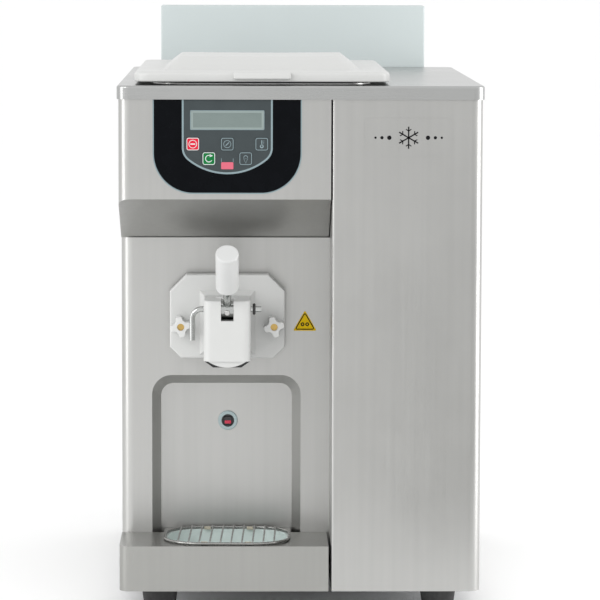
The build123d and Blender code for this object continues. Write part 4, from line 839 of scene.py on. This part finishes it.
# ---------------------------------------------------------------- small outside details
def rocker_face():
    """Red lens in the lower half of the switch rocker."""
    low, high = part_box("switch_rocker")
    inset = 0.7 * MM
    proud = 0.25 * MM
    sunk = 0.2 * MM
    skin = soft_box(
        (low.x + inset, low.y - proud, low.z + inset),
        (high.x - inset, low.y + sunk, (low.z + high.z) / 2), 0.2 * MM,
    )
    piece("rocker_lens", *skin, PRINT_RED, "rocker", "rocker_red")


def screw_head(x, y, z, axis):
    """Low domed screw head with a recess."""
    radius = 3.4 * MM
    dome = ((0, 1.02), (0.35, 1.0), (0.8, 0.86), (1.15, 0.6), (1.3, 0.42), (0.7, 0.36), (0.6, 0.1))
    profile = [(height * MM, radius * share) for height, share in dome]
    return lathe(profile, (x, y, z), axis, 20)


def panel_screws():
    """Screws along the sides and in the back panel."""
    heads = []
    for z in (0.06, 0.30, 0.54):
        for y in (FRONT + 0.16, FRONT + 0.56):
            heads.append(screw_head(side_low.x, y, z, (-1, 0, 0)))
            heads.append(screw_head(column_high.x, y, z, (1, 0, 0)))
    rear_inset = 0.012
    for x in (rear_low.x + rear_inset, rear_high.x - rear_inset):
        for z in (0.06, 0.28):
            heads.append(screw_head(x, rear_high.y, z, (0, 1, 0)))
    piece("panel_screws", *join(*heads), MATERIALS["chrome_steel"], "chassis", "stainless")


# ---------------------------------------------------------------- stage
FLOOR_HALF = 90.0
AIM = 0.35                     # height that the lamps point at


def flat_sheet(name, low, high, z, colors, roughness, specular):
    """Level stage sheet with a faintly uneven tone; colors holds its scale and its two tones."""
    corners = [(low[0], low[1], z), (high[0], low[1], z), (high[0], high[1], z), (low[0], high[1], z)]
    mesh = bpy.data.meshes.new(name)
    mesh.from_pydata(corners, [], [(0, 1, 2, 3)])
    obj = bpy.data.objects.new(name, mesh)
    bpy.context.scene.collection.objects.link(obj)
    scale, dark, light = colors
    n = Nodes(name + "_tone")
    n.set(roughness=roughness, specular=specular)
    mesh.materials.append(n.wire(n.mix(n.noise(scale, 2.0), dark, light)))
    return obj


def lamp(name, where, target, width, height, watts):
    """Soft rectangular lamp, aimed at a target and hidden from the camera."""
    light = bpy.data.lights.new(name, "AREA")
    light.shape = "RECTANGLE"
    light.size = width
    light.size_y = height
    light.energy = watts
    obj = bpy.data.objects.new(name, light)
    bpy.context.scene.collection.objects.link(obj)
    obj.location = where
    obj.rotation_euler = (Vector(target) - Vector(where)).to_track_quat("-Z", "Y").to_euler()
    obj.visible_camera = False


def stage():
    """Pale floor, soft white surroundings, studio lamps, and a card for the steel to reflect."""
    whites = (3.0, (0.95, 0.95, 0.95), (0.97, 0.97, 0.97))
    flat_sheet("floor", (-FLOOR_HALF, -FLOOR_HALF), (FLOOR_HALF, FLOOR_HALF), 0, whites, 0.8, 0.1)

    world = bpy.data.worlds.new("studio")
    bpy.context.scene.world = world
    world.use_nodes = True
    background = world.node_tree.nodes["Background"]
    background.inputs["Color"].default_value = (1, 1, 1, 1)
    background.inputs["Strength"].default_value = 1.05

    lamp("right_box", (1.5, -0.4, 0.6), (0.1, 0, AIM), 0.5, 1.6, 14)
    lamp("left_box", (-1.7, -0.9, 0.7), (-0.1, 0, AIM), 0.5, 1.6, 8)
    lamp("key_box", (-1.5, -2.2, 1.6), (0, 0, AIM), 0.9, 0.9, 14)

    greys = (2.0, (0.50, 0.50, 0.49), (0.55, 0.55, 0.54))
    card = flat_sheet("dark_card", (0.05, FRONT - 4.5), (3.0, FRONT - 0.35), 0.01, greys, 0.9, 0.0)
    card.visible_camera = False
    card.visible_diffuse = False
    card.visible_shadow = False


def camera():
    """Long lens from the front, a little above the cover, aimed slightly down."""
    left = 0.0648
    distance = 3.750
    height = 0.1651            # above the lower edge of the cover
    look_down = 5.832
    roll = -0.1455
    turn = -0.967
    data = bpy.data.cameras.new("camera")
    data.sensor_width = 36.0
    data.lens = 207.68
    data.clip_end = 300.0
    obj = bpy.data.objects.new("camera", data)
    bpy.context.scene.collection.objects.link(obj)
    obj.location = (-left, FRONT - distance, cover_low.z + height)
    obj.rotation_euler = (math.radians(90 - look_down), math.radians(roll), math.radians(turn))
    bpy.context.scene.camera = obj
    bpy.context.scene.view_settings.view_transform = "Standard"


camera()
stage()
dress_cad()
overlay_border()
keypad_border()
key_symbols()
display_details()
label_mark()
badge_mark()
hopper_lid()
drip_grid()
basin_light_sheet()
rocker_face()
panel_screws()
